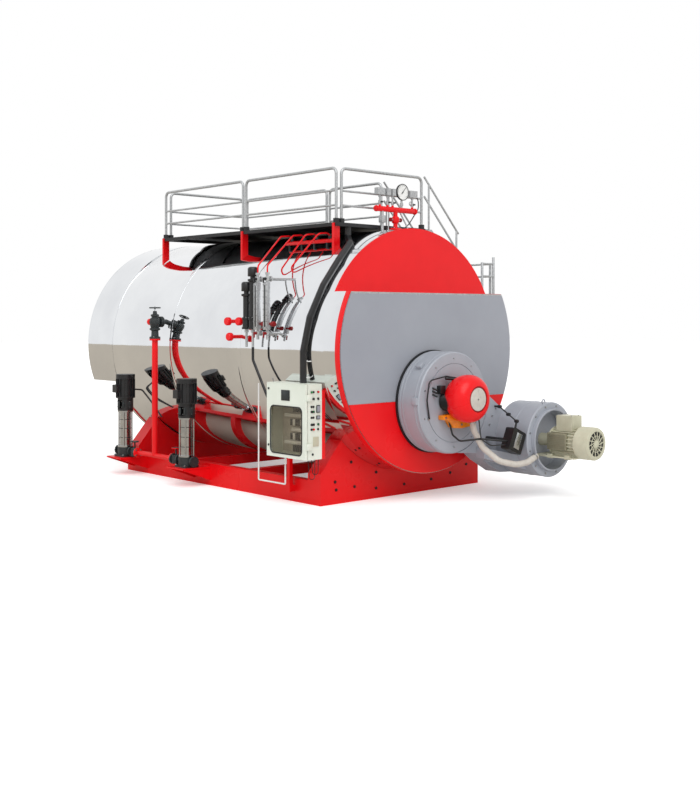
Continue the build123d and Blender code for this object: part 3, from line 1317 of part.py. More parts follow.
def build():
    """Every node of the boiler by name."""
    pieces = {
        "skid_rail_left": skid_rail(-1),
        "skid_rail_right": skid_rail(1),
        "skid_cross_members": cross_members(),
        "front_saddle": saddle(0, False),
        "rear_saddle": saddle(SADDLE_PITCH, True),
        "pump_shelves": pump_shelves(),
        "drum_shell": drum_shell(),
        "front_tube_plate": end_plate(DRUM_FRONT),
        "rear_end_plate": end_plate(DRUM_BACK - END_PLATE_T),
        "front_upper_plate": front_upper_plate(),
        "front_smoke_box": flat_shell(FRONT_BOX_Y, DRUM_FRONT, FRONT_BOX_WALL, high=LEDGE_Z),
        "front_rim": flat_shell(RIM_Y, FRONT_BOX_Y, RIM_WALL, high=LEDGE_Z),
        "front_door": face_plate(DOOR_SILL_Z, LEDGE_Z - DOOR_TOP_DROP),
        "front_lower_plate": face_plate(0, DOOR_SILL_Z - PLATE_SEAM),
        "rear_smoke_box": flat_shell(
            DRUM_BACK, DRUM_BACK + REAR_BOX_LENGTH, REAR_BOX_WALL, low=REAR_BOX_SILL_Z
        ),
        "rear_cover": rear_cover(),
        "deck_floor": deck_floor(),
        "deck_brackets": deck_brackets(),
        "stair_stringers": joined(upper_stringer(y) for y in (STAIR_FRONT, STAIR_BACK - STRINGER_T)),
        "stair_treads": upper_treads(),
        "stair_landing": landing(),
        "landing_guard": landing_guard(),
        "stair_handrails": stair_handrails(),
        "lower_stringers": lower_flight(),
        "lower_treads": lower_treads(),
        "steam_header": steam_header(),
        "pressure_gauge": pressure_gauge(),
        "pressure_switches": pressure_switches(),
        "vent_manifold": vent_manifold(),
        "pump_bases": pump_bases(),
        "pump_sleeves": pump_sleeves(),
        "pump_motors": joined(pump_motor(y) for y in PUMP_YS),
        "feed_pipe": feed_pipe(),
        "feed_valve": feed_valve(),
        "feed_handwheel": feed_handwheel(),
        "level_columns": joined(level_column(y) for y in COLUMN_YS),
        "level_probes": joined(level_probe(y, top) for y, top in zip(PROBE_YS, PROBE_TOPS)),
        "pipe_end_caps": pipe_end_caps(),
        "cabinet_box": cabinet_box(),
        "cabinet_gear": cabinet_gear(),
        "cabinet_door": cabinet_door(),
        "cabinet_hinges": cabinet_hinges(),
        "cabinet_window": cabinet_window(),
        "cabinet_post": cabinet_post(),
        "cable_bundle": cable_bundle(),
        "cabinet_conduit": cabinet_conduit(),
        "burner_flange": burner_flange(),
        "burner_housing": burner_housing(),
        "burner_cap": bulb(0),
        "burner_bracket": burner_bracket(),
        "burner_hose": burner_hose(),
        "fan_scroll": fan_scroll(),
        "air_duct": air_duct(),
        "fan_motor": fan_motor(),
        "motor_cowl": motor_cowl(),
        "servo_box": servo_box(),
    }
    pieces.update(guards())
    return pieces


os.makedirs("parts", exist_ok=True)
for name, shape in build().items():
    export_step(shape, f"parts/{name}.step")
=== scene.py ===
"""Looks of a fire-tube steam boiler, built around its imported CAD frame.

Everything is in metres in the part's own frame: +Z up, the burner end faces -Y,
the feed pumps and the cabinet stand on the -X side, the stair on the +X side.
"""

import json
import logging
import math
from collections.abc import Iterator
from contextlib import contextmanager
from dataclasses import dataclass
from enum import Enum

import bmesh
import bpy
from mathutils import Matrix, Vector


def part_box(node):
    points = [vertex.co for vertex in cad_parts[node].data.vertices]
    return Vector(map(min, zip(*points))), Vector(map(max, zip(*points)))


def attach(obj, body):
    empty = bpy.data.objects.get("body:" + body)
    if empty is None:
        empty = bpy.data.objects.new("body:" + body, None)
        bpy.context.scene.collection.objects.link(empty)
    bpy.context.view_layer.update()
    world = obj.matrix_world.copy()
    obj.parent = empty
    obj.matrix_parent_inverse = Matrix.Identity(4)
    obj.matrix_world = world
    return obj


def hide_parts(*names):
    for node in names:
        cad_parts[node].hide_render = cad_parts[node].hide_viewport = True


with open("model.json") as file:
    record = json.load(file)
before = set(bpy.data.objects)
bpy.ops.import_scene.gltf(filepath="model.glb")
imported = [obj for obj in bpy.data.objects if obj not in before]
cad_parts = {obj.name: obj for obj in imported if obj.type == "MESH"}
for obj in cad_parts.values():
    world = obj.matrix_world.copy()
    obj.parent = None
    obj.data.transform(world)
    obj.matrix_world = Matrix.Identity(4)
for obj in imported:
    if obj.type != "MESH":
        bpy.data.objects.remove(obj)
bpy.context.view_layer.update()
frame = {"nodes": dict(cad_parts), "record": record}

LOG = logging.getLogger("boiler")
MM = 0.001
BOILER = "boiler"
DOOR_BODY = "cabinet_door"
WHEEL_BODY = "feed_handwheel"


# ---------------------------------------------------------------- materials


class Surface(Enum):
    """How the fine texture of a finish is made."""

    POLISHED = "polished"
    SPRAYED = "sprayed"
    SPANGLED = "spangled"
    BRUSHED = "brushed"
    CAST = "cast"
    MOULDED = "moulded"


@dataclass(frozen=True)
class Finish:
    """One real surface: its colour, its gloss and the size of its texture.

    Attributes:
        title: The material's name.
        colour: The main sRGB colour.
        shade: The sRGB colour of its darker patches.
        surface: How the texture is made.
        metallic: 1 for bare metal.
        roughness: The mean roughness.
        spread: How far the roughness wanders from its mean.
        coat: The weight of a clear gloss layer.
        grain: The size of the fine texture in millimetres.
        depth: The depth of the fine texture in millimetres.
        patch: The size of the colour patches in millimetres.
        stretch: How much shorter the grain is along X, Y and Z.
        transmission: 1 for glass.
        specular: How strongly the bare surface mirrors, 0.5 for most.
    """

    title: str
    colour: str
    shade: str
    surface: Surface
    metallic: float = 0.0
    roughness: float = 0.4
    spread: float = 0.05
    coat: float = 0.0
    grain: float = 3.0
    depth: float = 0.1
    patch: float = 400.0
    stretch: tuple[float, float, float] = (1.0, 1.0, 1.0)
    transmission: float = 0.0
    specular: float = 0.5


# Alkyd gloss enamel, sprayed on steel: deep even red with a faint orange peel.
RED_ENAMEL = Finish(
    "red_gloss_enamel", "#EE1018", "#DE0C13", Surface.SPRAYED,
    roughness=0.3, grain=9.0, depth=0.12, patch=900.0, specular=0.3,
)
# Polished stainless sheet, rolled to a mirror: it shows the room, a little wavy.
MIRROR_STEEL = Finish(
    "mirror_polished_stainless", "#E9EBED", "#DCDEE1", Surface.POLISHED,
    metallic=1.0, roughness=0.045, spread=0.02, grain=420.0, depth=2.2, patch=700.0,
)
# Two-pack satin paint on the smoke-box door: cool grey with a soft sheen.
DOOR_PAINT = Finish(
    "satin_grey_paint", "#9C9FA7", "#92959E", Surface.SPRAYED,
    roughness=0.42, grain=7.0, depth=0.08, patch=1100.0,
)
# Powder coat on the burner and its fan: light blue-grey, slightly pebbled.
BURNER_PAINT = Finish(
    "grey_powder_coat", "#A4A8B0", "#989CA5", Surface.SPRAYED,
    roughness=0.4, coat=0.1, grain=4.0, depth=0.1, patch=500.0,
)
# Hot-dip galvanised tube: dull zinc with crystals a few millimetres across.
GALVANISED = Finish(
    "hot_dip_zinc", "#BEC0C1", "#ACAEB0", Surface.SPANGLED,
    metallic=0.6, roughness=0.42, spread=0.06, grain=9.0, depth=0.02, patch=120.0,
)
# Turned and brushed stainless sleeve: fine rings round the pump.
BRUSHED_STEEL = Finish(
    "brushed_stainless", "#C9CBCC", "#AEB0B2", Surface.BRUSHED,
    metallic=1.0, roughness=0.17, spread=0.06, grain=30.0, depth=0.05, patch=90.0,
    stretch=(1.0, 1.0, 14.0),
)
# Matt black paint on the walkway and its feet.
BLACK_PAINT = Finish(
    "matt_black_paint", "#202124", "#161719", Surface.SPRAYED,
    roughness=0.55, grain=5.0, depth=0.15, patch=300.0,
)
# Painted grey-iron casting: dark green-black, sandy to the touch.
CAST_IRON = Finish(
    "painted_cast_iron", "#2B3234", "#1B2122", Surface.CAST,
    roughness=0.5, spread=0.1, grain=3.5, depth=0.35, patch=80.0,
)
# Moulded ABS and cable sleeve: even black with a low sheen.
BLACK_ABS = Finish(
    "black_abs", "#1D1E21", "#131416", Surface.MOULDED,
    roughness=0.36, grain=1.8, depth=0.05, patch=60.0,
)
# Epoxy powder coat on the cabinet: pale green-cream with a fine pebble.
CABINET_COAT = Finish(
    "cream_powder_coat", "#E6EBDF", "#DCE2D4", Surface.SPRAYED,
    roughness=0.38, coat=0.1, grain=3.0, depth=0.06, patch=300.0,
)
# Enamelled aluminium motor: warm cream.
MOTOR_ENAMEL = Finish(
    "cream_motor_enamel", "#CBC9B2", "#B9B69E", Surface.CAST,
    roughness=0.42, grain=4.0, depth=0.12, patch=150.0,
)
# The motor's cream enamel darkened to brown-grey on its fins and side cover: painted shade between the fins.
SHADED_FIN_ENAMEL = Finish(
    "shaded_fin_enamel", "#928E78", "#7F7B66", Surface.CAST,
    roughness=0.55, grain=4.0, depth=0.12, patch=120.0,
)
# Orange enamel on the burner's linkage plate.
ORANGE_ENAMEL = Finish(
    "orange_gloss_enamel", "#F08A12", "#DD7A0C", Surface.SPRAYED,
    roughness=0.3, coat=0.3, grain=4.0, depth=0.06, patch=100.0,
)
# Tinted acrylic pane in the cabinet door.
SMOKED_ACRYLIC = Finish(
    "smoked_acrylic", "#F0ECE2", "#ECE7DB", Surface.POLISHED,
    roughness=0.04, spread=0.01, grain=300.0, depth=0.1, transmission=1.0,
)
# Off-white silicone-coated sleeve.
PALE_SLEEVE = Finish(
    "off_white_sleeve", "#CCC6BD", "#B9B2A8", Surface.MOULDED,
    roughness=0.5, grain=4.0, depth=0.2, patch=50.0,
)
# White PVC conduit and dial faces.
WHITE_PVC = Finish(
    "white_pvc", "#EDEDEA", "#E2E2DF", Surface.MOULDED,
    roughness=0.35, grain=2.0, depth=0.03, patch=60.0,
)
# Bright zinc-plated fasteners and bare machined steel.
PLATED_STEEL = Finish(
    "zinc_plated_steel", "#C4C6C8", "#A5A8AB", Surface.BRUSHED,
    metallic=1.0, roughness=0.28, spread=0.08, grain=6.0, depth=0.03, patch=20.0,
)

# Dark red enamel inside the cap's rim, out of the light.
DEEP_RED = Finish(
    "dark_red_enamel", "#8E1217", "#7A0F13", Surface.SPRAYED,
    roughness=0.4, grain=5.0, depth=0.08, patch=80.0, specular=0.3,
)
# Green lens caps of the cabinet's lamps.
GREEN_LENS = Finish(
    "green_polycarbonate", "#2F8F4E", "#27803F", Surface.MOULDED,
    roughness=0.2, grain=2.0, depth=0.02, patch=20.0,
)

SLOT_FINISHES = {
    "red_paint": RED_ENAMEL,
    "mirror_cladding": MIRROR_STEEL,
    "door_grey": DOOR_PAINT,
    "burner_grey": BURNER_PAINT,
    "galvanised": GALVANISED,
    "stainless": BRUSHED_STEEL,
    "deck_black": BLACK_PAINT,
    "cast_dark": CAST_IRON,
    "black_plastic": BLACK_ABS,
    "cabinet_cream": CABINET_COAT,
    "motor_cream": MOTOR_ENAMEL,
    "orange_paint": ORANGE_ENAMEL,
    "smoked_glass": SMOKED_ACRYLIC,
    "white_hose": PALE_SLEEVE,
}


def linear(colour: str) -> tuple[float, float, float, float]:
    """Turn an sRGB hex value into a linear colour.

    Args:
        colour: The colour as "#RRGGBB".

    Returns:
        Red, green, blue and an alpha of 1.
    """
    channels = []
    for start in (1, 3, 5):
        value = int(colour[start:start + 2], 16) / 255
        channels.append(value / 12.92 if value <= 0.04045 else ((value + 0.055) / 1.055) ** 2.4)
    return (*channels, 1.0)


def add_node(tree: bpy.types.NodeTree, kind: str, values: dict | None = None, **settings) -> bpy.types.Node:
    """Add a node with its settings, its values and its links.

    Args:
        tree: The node tree.
        kind: The node's type.
        values: What each input socket takes, a value or another node's output.
        **settings: The node's own properties.

    Returns:
        The new node.
    """
    node = tree.nodes.new(kind)
    for name, value in settings.items():
        setattr(node, name, value)
    for socket, value in (values or {}).items():
        if isinstance(value, bpy.types.NodeSocket):
            tree.links.new(value, node.inputs[socket])
        else:
            node.inputs[socket].default_value = value
    return node


class Paintbox:
    """Makes each finish's material once and hands it out."""

    MIX_FACTOR, MIX_A, MIX_B, MIX_OUT = 0, 6, 7, 2

    def __init__(self) -> None:
        """Start with no material."""
        self.made: dict[str, bpy.types.Material] = {}

    def get(self, finish: Finish) -> bpy.types.Material:
        """Return the finish's material, made at its first use."""
        if finish.title not in self.made:
            self.made[finish.title] = self._build(finish)
        return self.made[finish.title]

    def _build(self, finish: Finish) -> bpy.types.Material:
        """Build one finish's nodes.

        Args:
            finish: The finish.

        Returns:
            The material.
        """
        material = bpy.data.materials.new(finish.title)
        material.use_nodes = True
        tree = material.node_tree
        tree.nodes.clear()
        place = add_node(tree, "ShaderNodeTexCoord").outputs["Object"]
        patches = add_node(
            tree, "ShaderNodeTexNoise",
            {"Vector": place, "Scale": 1000 / finish.patch, "Detail": 4.0, "Roughness": 0.6},
        ).outputs["Fac"]
        grain_place = add_node(tree, "ShaderNodeMapping", {"Vector": place, "Scale": finish.stretch})
        height, cell = self._grain(tree, finish, grain_place.outputs["Vector"])
        tone = cell if finish.surface is Surface.SPANGLED else patches
        share = add_node(
            tree, "ShaderNodeMapRange", {"Value": tone, "From Min": 0.3, "From Max": 0.7}
        ).outputs["Result"]
        colour = add_node(
            tree, "ShaderNodeMix",
            {self.MIX_FACTOR: share, self.MIX_A: linear(finish.colour), self.MIX_B: linear(finish.shade)},
            data_type="RGBA",
        ).outputs[self.MIX_OUT]
        rough = add_node(
            tree, "ShaderNodeMapRange",
            {
                "Value": patches, "From Min": 0.3, "From Max": 0.7,
                "To Min": max(0.0, finish.roughness - finish.spread),
                "To Max": finish.roughness + finish.spread,
            },
        ).outputs["Result"]
        bump = add_node(
            tree, "ShaderNodeBump",
            {"Strength": 1.0, "Distance": finish.depth * MM, "Height": height},
        ).outputs["Normal"]
        shader = add_node(
            tree, "ShaderNodeBsdfPrincipled",
            {
                "Base Color": colour, "Metallic": finish.metallic, "Roughness": rough,
                "Normal": bump, "Coat Weight": finish.coat, "Coat Roughness": 0.08,
                "Transmission Weight": finish.transmission, "Specular IOR Level": finish.specular,
            },
        )
        add_node(tree, "ShaderNodeOutputMaterial", {"Surface": shader.outputs["BSDF"]})
        return material

    @staticmethod
    def _grain(
        tree: bpy.types.NodeTree, finish: Finish, place: bpy.types.NodeSocket
    ) -> tuple[bpy.types.NodeSocket, bpy.types.NodeSocket]:
        """Make the fine texture of a finish.

        Args:
            tree: The material's node tree.
            finish: The finish.
            place: Where the texture is read.

        Returns:
            The height for the bump, and a value that differs from grain to grain.
        """
        scale = 1000 / finish.grain
        if finish.surface is Surface.SPANGLED:
            cells = add_node(tree, "ShaderNodeTexVoronoi", {"Vector": place, "Scale": scale})
            split = add_node(tree, "ShaderNodeSeparateColor", {"Color": cells.outputs["Color"]})
            return cells.outputs["Distance"], split.outputs["Red"]
        detail = {Surface.CAST: 6.0, Surface.BRUSHED: 3.0}.get(finish.surface, 1.0)
        noise = add_node(
            tree, "ShaderNodeTexNoise", {"Vector": place, "Scale": scale, "Detail": detail}
        )
        return noise.outputs["Fac"], noise.outputs["Fac"]


PAINTS = Paintbox()


# ---------------------------------------------------------------- mesh helpers


def turn_to(direction: Vector, origin: Vector) -> Matrix:
    """Return the matrix that lays local Z along a direction from an origin."""
    return Matrix.Translation(origin) @ direction.to_track_quat("Z", "Y").to_matrix().to_4x4()


def add_rod(bm: bmesh.types.BMesh, start: Vector, end: Vector, radius: float, sides: int = 32,
            tip: float | None = None, edge: float = 0.0) -> None:
    """Add a round bar or a cone with softened end edges.

    Args:
        bm: The mesh to add to.
        start: The middle of one end.
        end: The middle of the other end.
        radius: Its radius.
        sides: How many sides it has.
        tip: The radius at its end, where it tapers.
        edge: The width of the bevel on its end edges.
    """
    run = Vector(end) - Vector(start)
    made = bmesh.ops.create_cone(
        bm, cap_ends=True, segments=sides, radius1=radius, radius2=radius if tip is None else tip,
        depth=run.length, matrix=turn_to(run, (Vector(start) + Vector(end)) / 2),
    )
    if edge > 0:
        rims = {
            e for v in made["verts"] for e in v.link_edges
            if any(len(f.verts) > 4 for f in e.link_faces)
        }
        bmesh.ops.bevel(
            bm, geom=list(rims), offset=edge, affect="EDGES", segments=2, profile=0.5, material=-1
        )


def add_box(bm: bmesh.types.BMesh, low: Vector, high: Vector, edge: float = 0.0,
            turn: Matrix | None = None) -> None:
    """Add a box between two corners with softened edges.

    Args:
        bm: The mesh to add to.
        low: Its lowest corner.
        high: Its highest corner.
        edge: The width of the bevel on its edges.
        turn: A turn about its middle.
    """
    low, high = Vector(low), Vector(high)
    size = high - low
    place = Matrix.Translation((low + high) / 2) @ (turn or Matrix.Identity(4))
    matrix = place @ Matrix.Diagonal((*size, 1.0))
    made = bmesh.ops.create_cube(bm, size=1.0, matrix=matrix)
    if edge > 0:
        edges = {e for v in made["verts"] for e in v.link_edges}
        bmesh.ops.bevel(
            bm, geom=list(edges), offset=edge, affect="EDGES", segments=2, profile=0.5, material=-1
        )


def add_ring(bm: bmesh.types.BMesh, centre: Vector, axis: Vector, radius: float, thickness: float,
             sides: int = 64, section: int = 12) -> None:
    """Add a round ring by spinning its section about an axis.

    Args:
        bm: The mesh to add to.
        centre: The ring's middle.
        axis: The ring's axis.
        radius: From the middle to the middle of its section.
        thickness: The radius of its section.
        sides: Steps round the ring.
        section: Sides of its section.
    """
    seat = turn_to(Vector(axis), Vector(centre))
    circle = bmesh.ops.create_circle(
        bm, segments=section, radius=thickness,
        matrix=seat @ Matrix.Translation((radius, 0, 0)) @ Matrix.Rotation(math.pi / 2, 4, "X"),
    )
    edges = {e for v in circle["verts"] for e in v.link_edges}
    bmesh.ops.spin(
        bm, geom=list(edges) + circle["verts"], cent=centre, axis=Vector(axis).normalized(),
        angle=math.tau, steps=sides, use_merge=True,
    )


def add_turned(bm: bmesh.types.BMesh, origin: Vector, axis: Vector, profile: list[tuple[float, float]],
               sides: int = 64) -> None:
    """Add a turned body: a profile of radius and height spun about an axis.

    Args:
        bm: The mesh to add to.
        origin: Where height is 0 on the axis.
        axis: The axis.
        profile: Radius and height of each point, from one end to the other.
        sides: Steps round the axis.
    """
    seat = turn_to(Vector(axis), Vector(origin))
    verts = [bm.verts.new(seat @ Vector((radius, 0, height))) for radius, height in profile]
    edges = [bm.edges.new(pair) for pair in zip(verts, verts[1:])]
    bmesh.ops.spin(
        bm, geom=verts + edges, cent=origin, axis=Vector(axis).normalized(),
        angle=math.tau, steps=sides, use_merge=True,
    )


def add_tube(bm: bmesh.types.BMesh, points: list, radius: float, bend: float = 0.0,
             sides: int = 14, steps: int = 6) -> None:
    """Add a tube along straight runs with round bends.

    Args:
        bm: The mesh to add to.
        points: The corners of its middle line.
        radius: The tube's radius.
        bend: The radius of each bend.
        sides: Sides of its section.
        steps: Steps round each bend.
    """
    corners = [Vector(p) for p in points]
    heading = (corners[1] - corners[0]).normalized()
    circle = bmesh.ops.create_circle(bm, segments=sides, radius=radius, matrix=turn_to(heading, corners[0]))
    verts = circle["verts"]
    first = list(verts)
    at = corners[0]
    for corner, after in zip(corners[1:], corners[2:] + [None]):
        turn = None if after is None else (after - corner).normalized()
        angle = 0.0 if turn is None else heading.angle(turn)
        cut = bend * math.tan(angle / 2) if angle > 1e-4 else 0.0
        target = corner - heading * cut
        verts = extrude_ring(bm, verts, target - at)
        at = target
        if cut > 0:
            axis = heading.cross(turn).normalized()
            centre = at + axis.cross(heading) * bend
            edges = ring_edges(verts)
            made = bmesh.ops.spin(
                bm, geom=verts + edges, cent=centre, axis=axis, angle=angle, steps=steps
            )
            verts = [v for v in made["geom_last"] if isinstance(v, bmesh.types.BMVert)]
            at = corner + turn * cut
        if turn is not None:
            heading = turn
    bmesh.ops.contextual_create(bm, geom=first)
    bmesh.ops.contextual_create(bm, geom=verts)


def ring_edges(verts: list) -> list:
    """Return the edges that join the vertices of one ring."""
    inside = set(verts)
    return list({e for v in verts for e in v.link_edges if e.other_vert(v) in inside})


def extrude_ring(bm: bmesh.types.BMesh, verts: list, run: Vector) -> list:
    """Extrude a ring of edges along a run.

    Args:
        bm: The mesh.
        verts: The ring's vertices.
        run: How far it goes.

    Returns:
        The new ring's vertices.
    """
    made = bmesh.ops.extrude_edge_only(bm, edges=ring_edges(verts))
    fresh = [v for v in made["geom"] if isinstance(v, bmesh.types.BMVert)]
    bmesh.ops.translate(bm, verts=fresh, vec=run)
    return fresh


def add_plate(bm: bmesh.types.BMesh, outline: list, depth: Vector, edge: float = 0.0) -> None:
    """Add a flat plate: an outline drawn out along a depth.

    Args:
        bm: The mesh to add to.
        outline: The corners of one face, in order.
        depth: From that face to the other.
        edge: The width of the bevel on its edges.
    """
    face = bm.faces.new([bm.verts.new(Vector(p)) for p in outline])
    made = bmesh.ops.extrude_face_region(bm, geom=[face], use_keep_orig=True)
    fresh = [v for v in made["geom"] if isinstance(v, bmesh.types.BMVert)]
    bmesh.ops.translate(bm, verts=fresh, vec=Vector(depth))
    if edge > 0:
        edges = {e for v in list(face.verts) + fresh for e in v.link_edges}
        bmesh.ops.bevel(
            bm, geom=list(edges), offset=edge, affect="EDGES", segments=2, profile=0.5, material=-1
        )


def add_bolt(bm: bmesh.types.BMesh, foot: Vector, axis: Vector, size: float) -> None:
    """Add a hexagon head on a washer.

    Args:
        bm: The mesh to add to.
        foot: Where the washer sits.
        axis: Where the head points.
        size: Half the head's width.
    """
    foot, out = Vector(foot), Vector(axis).normalized()
    add_rod(bm, foot, foot + out * size * 0.25, size * 1.35, 16)
    add_rod(bm, foot, foot + out * size, size, 6)


def add_bolts(bm: bmesh.types.BMesh, centre: Vector, axis: Vector, circle: float, count: int,
              size: float) -> None:
    """Add a circle of bolts.

    Args:
        bm: The mesh to add to.
        centre: The circle's middle.
        axis: Where the heads point.
        circle: The circle's radius.
        count: How many there are.
        size: Half a head's width.
    """
    seat = turn_to(Vector(axis), Vector(centre))
    for index in range(count):
        spin = Matrix.Rotation(math.tau * (index + 0.5) / count, 4, "Z")
        add_bolt(bm, seat @ spin @ Vector((circle, 0, 0)), axis, size)


def drum_side(height: float) -> float:
    """Return how far the drum's side is from the middle at a height."""
    low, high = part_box("drum_shell")
    radius = (high.z - low.z) / 2
    return math.sqrt(radius ** 2 - (height - (high.z + low.z) / 2) ** 2)


def cut_level(bm: bmesh.types.BMesh, height: float, keep_below: bool) -> None:
    """Cut a closed mesh flat at a height and close the cut.

    Args:
        bm: The mesh.
        height: Where the cut lies.
        keep_below: Whether the lower part stays.
    """
    everything = list(bm.verts) + list(bm.edges) + list(bm.faces)
    cut = bmesh.ops.bisect_plane(
        bm, geom=everything, plane_co=(0, 0, height), plane_no=(0, 0, 1),
        clear_outer=keep_below, clear_inner=not keep_below,
    )
    rim = [e for e in cut["geom_cut"] if isinstance(e, bmesh.types.BMEdge)]
    bmesh.ops.holes_fill(bm, edges=rim, sides=0)


SHARP_ANGLE = math.radians(32)


def place_piece(bm: bmesh.types.BMesh, name: str, finish: Finish, body: str = BOILER,
                stands_for: tuple[str, ...] = ()) -> bpy.types.Object:
    """Turn a mesh into a piece that rides on a body.

    Args:
        bm: The mesh, in the part's frame. It is freed.
        name: The piece's name.
        finish: Its finish.
        body: The CAD body that carries it.
        stands_for: The CAD nodes that it replaces.

    Returns:
        The new object.
    """
    bmesh.ops.remove_doubles(bm, verts=bm.verts, dist=1e-5)
    bmesh.ops.recalc_face_normals(bm, faces=bm.faces)
    for face in bm.faces:
        face.smooth = True
    for edge in bm.edges:
        edge.smooth = len(edge.link_faces) == 2 and edge.calc_face_angle(0.0) < SHARP_ANGLE
    mesh = bpy.data.meshes.new(name)
    bm.to_mesh(mesh)
    bm.free()
    mesh.materials.append(PAINTS.get(finish))
    placed = bpy.data.objects.new(name, mesh)
    bpy.context.scene.collection.objects.link(placed)
    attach(placed, body)
    if stands_for:
        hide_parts(*stands_for)
    LOG.info("%s: %d faces", name, len(mesh.polygons))
    return placed


@contextmanager
def piece(name: str, finish: Finish, body: str = BOILER,
          stands_for: tuple[str, ...] = ()) -> Iterator[bmesh.types.BMesh]:
    """Open a mesh for its shapes, and place it as a piece when they are all in.

    Args:
        name: The piece's name.
        finish: Its finish.
        body: The CAD body that carries it.
        stands_for: The CAD nodes that it replaces.

    Yields:
        The mesh to add to.
    """
    bm = bmesh.new()
    yield bm
    place_piece(bm, name, finish, body, stands_for)


def middle(node: str) -> Vector:
    """Return the middle of a CAD node's box."""
    low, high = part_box(node)
    return (low + high) / 2


# ---------------------------------------------------------------- the boiler's own pieces


@dataclass
class Cladding:
    """The polished jacket: drum, front smoke box and rear smoke box.

    Attributes:
        radius: The jacket's outer radius.
        sides: Steps round the jacket, fine enough for clean reflections.
        band: Width of the sheets' lap bands.
        proud: How far a lap band stands out of the sheet.
    """

    radius: float = 1.175
    sides: int = 288
    band: float = 0.05
    proud: float = 0.0012

    def axis_height(self) -> float:
        """Return the height of the drum's axis."""
        return middle("drum_shell").z

    def disc(self, bm: bmesh.types.BMesh, front: float, back: float, radius: float,
             edge: float = 0.0) -> None:
        """Add a closed slice of the drum's cylinder.

        Args:
            bm: The mesh to add to.
            front: Its front end along Y.
            back: Its back end along Y.
            radius: Its radius.
            edge: The width of the bevel on its end edges.
        """
        z = self.axis_height()
        add_rod(bm, Vector((0, front, z)), Vector((0, back, z)), radius, self.sides, edge=edge)

    def build(self) -> None:
        """Build the three jackets and the lap bands."""
        low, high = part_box("drum_shell")
        sheet = self.radius - self.proud
        bm = bmesh.new()
        self.disc(bm, low.y, high.y, sheet, 0.003)
        place_piece(bm, "drum_jacket", MIRROR_STEEL, stands_for=("drum_shell",))
        seams = [low.y + (high.y - low.y) * share for share in (0.34, 0.67)]
        bm = bmesh.new()
        for y in seams:
            self.disc(bm, y - self.band / 2, y + self.band / 2, self.radius, 0.001)
        self.disc(bm, high.y - self.band, high.y, self.radius, 0.001)
        place_piece(bm, "drum_lap_bands", MIRROR_STEEL)
        low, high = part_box("front_smoke_box")
        bm = bmesh.new()
        self.disc(bm, low.y, high.y, sheet)
        cut_level(bm, high.z, True)
        place_piece(bm, "front_box_jacket", MIRROR_STEEL, stands_for=("front_smoke_box",))
        low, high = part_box("rear_smoke_box")
        bm = bmesh.new()
        self.disc(bm, low.y, high.y, sheet)
        cut_level(bm, low.z, False)
        place_piece(bm, "rear_box_jacket", MIRROR_STEEL, stands_for=("rear_smoke_box",))


@dataclass
class FrontEnd:
    """The red rim and a pale band round the door, a painted highlight on the rim's edge.

    Attributes:
        sides: Steps round the rim; not used, the rim takes the jacket's steps.
        highlight_width: Thickness of the pale band painted as the rim's edge highlight.
    """

    sides: int = 288
    highlight_width: float = 0.003

    def build(self) -> None:
        """Build the rim and the pale band painted as its edge highlight."""
        jacket = Cladding()
        low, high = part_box("front_rim")
        bm = bmesh.new()
        jacket.disc(bm, low.y, high.y, jacket.radius, 0.002)
        cut_level(bm, high.z, True)
        place_piece(bm, "red_rim", RED_ENAMEL, stands_for=("front_rim",))
        # A thin pale disc just inside the rim's front edge: a painted highlight.
        bm = bmesh.new()
        jacket.disc(bm, low.y - self.highlight_width, low.y + self.highlight_width, jacket.radius - self.highlight_width)
        cut_level(bm, high.z - self.highlight_width, True)
        place_piece(bm, "rim_painted_highlight", PLATED_STEEL)


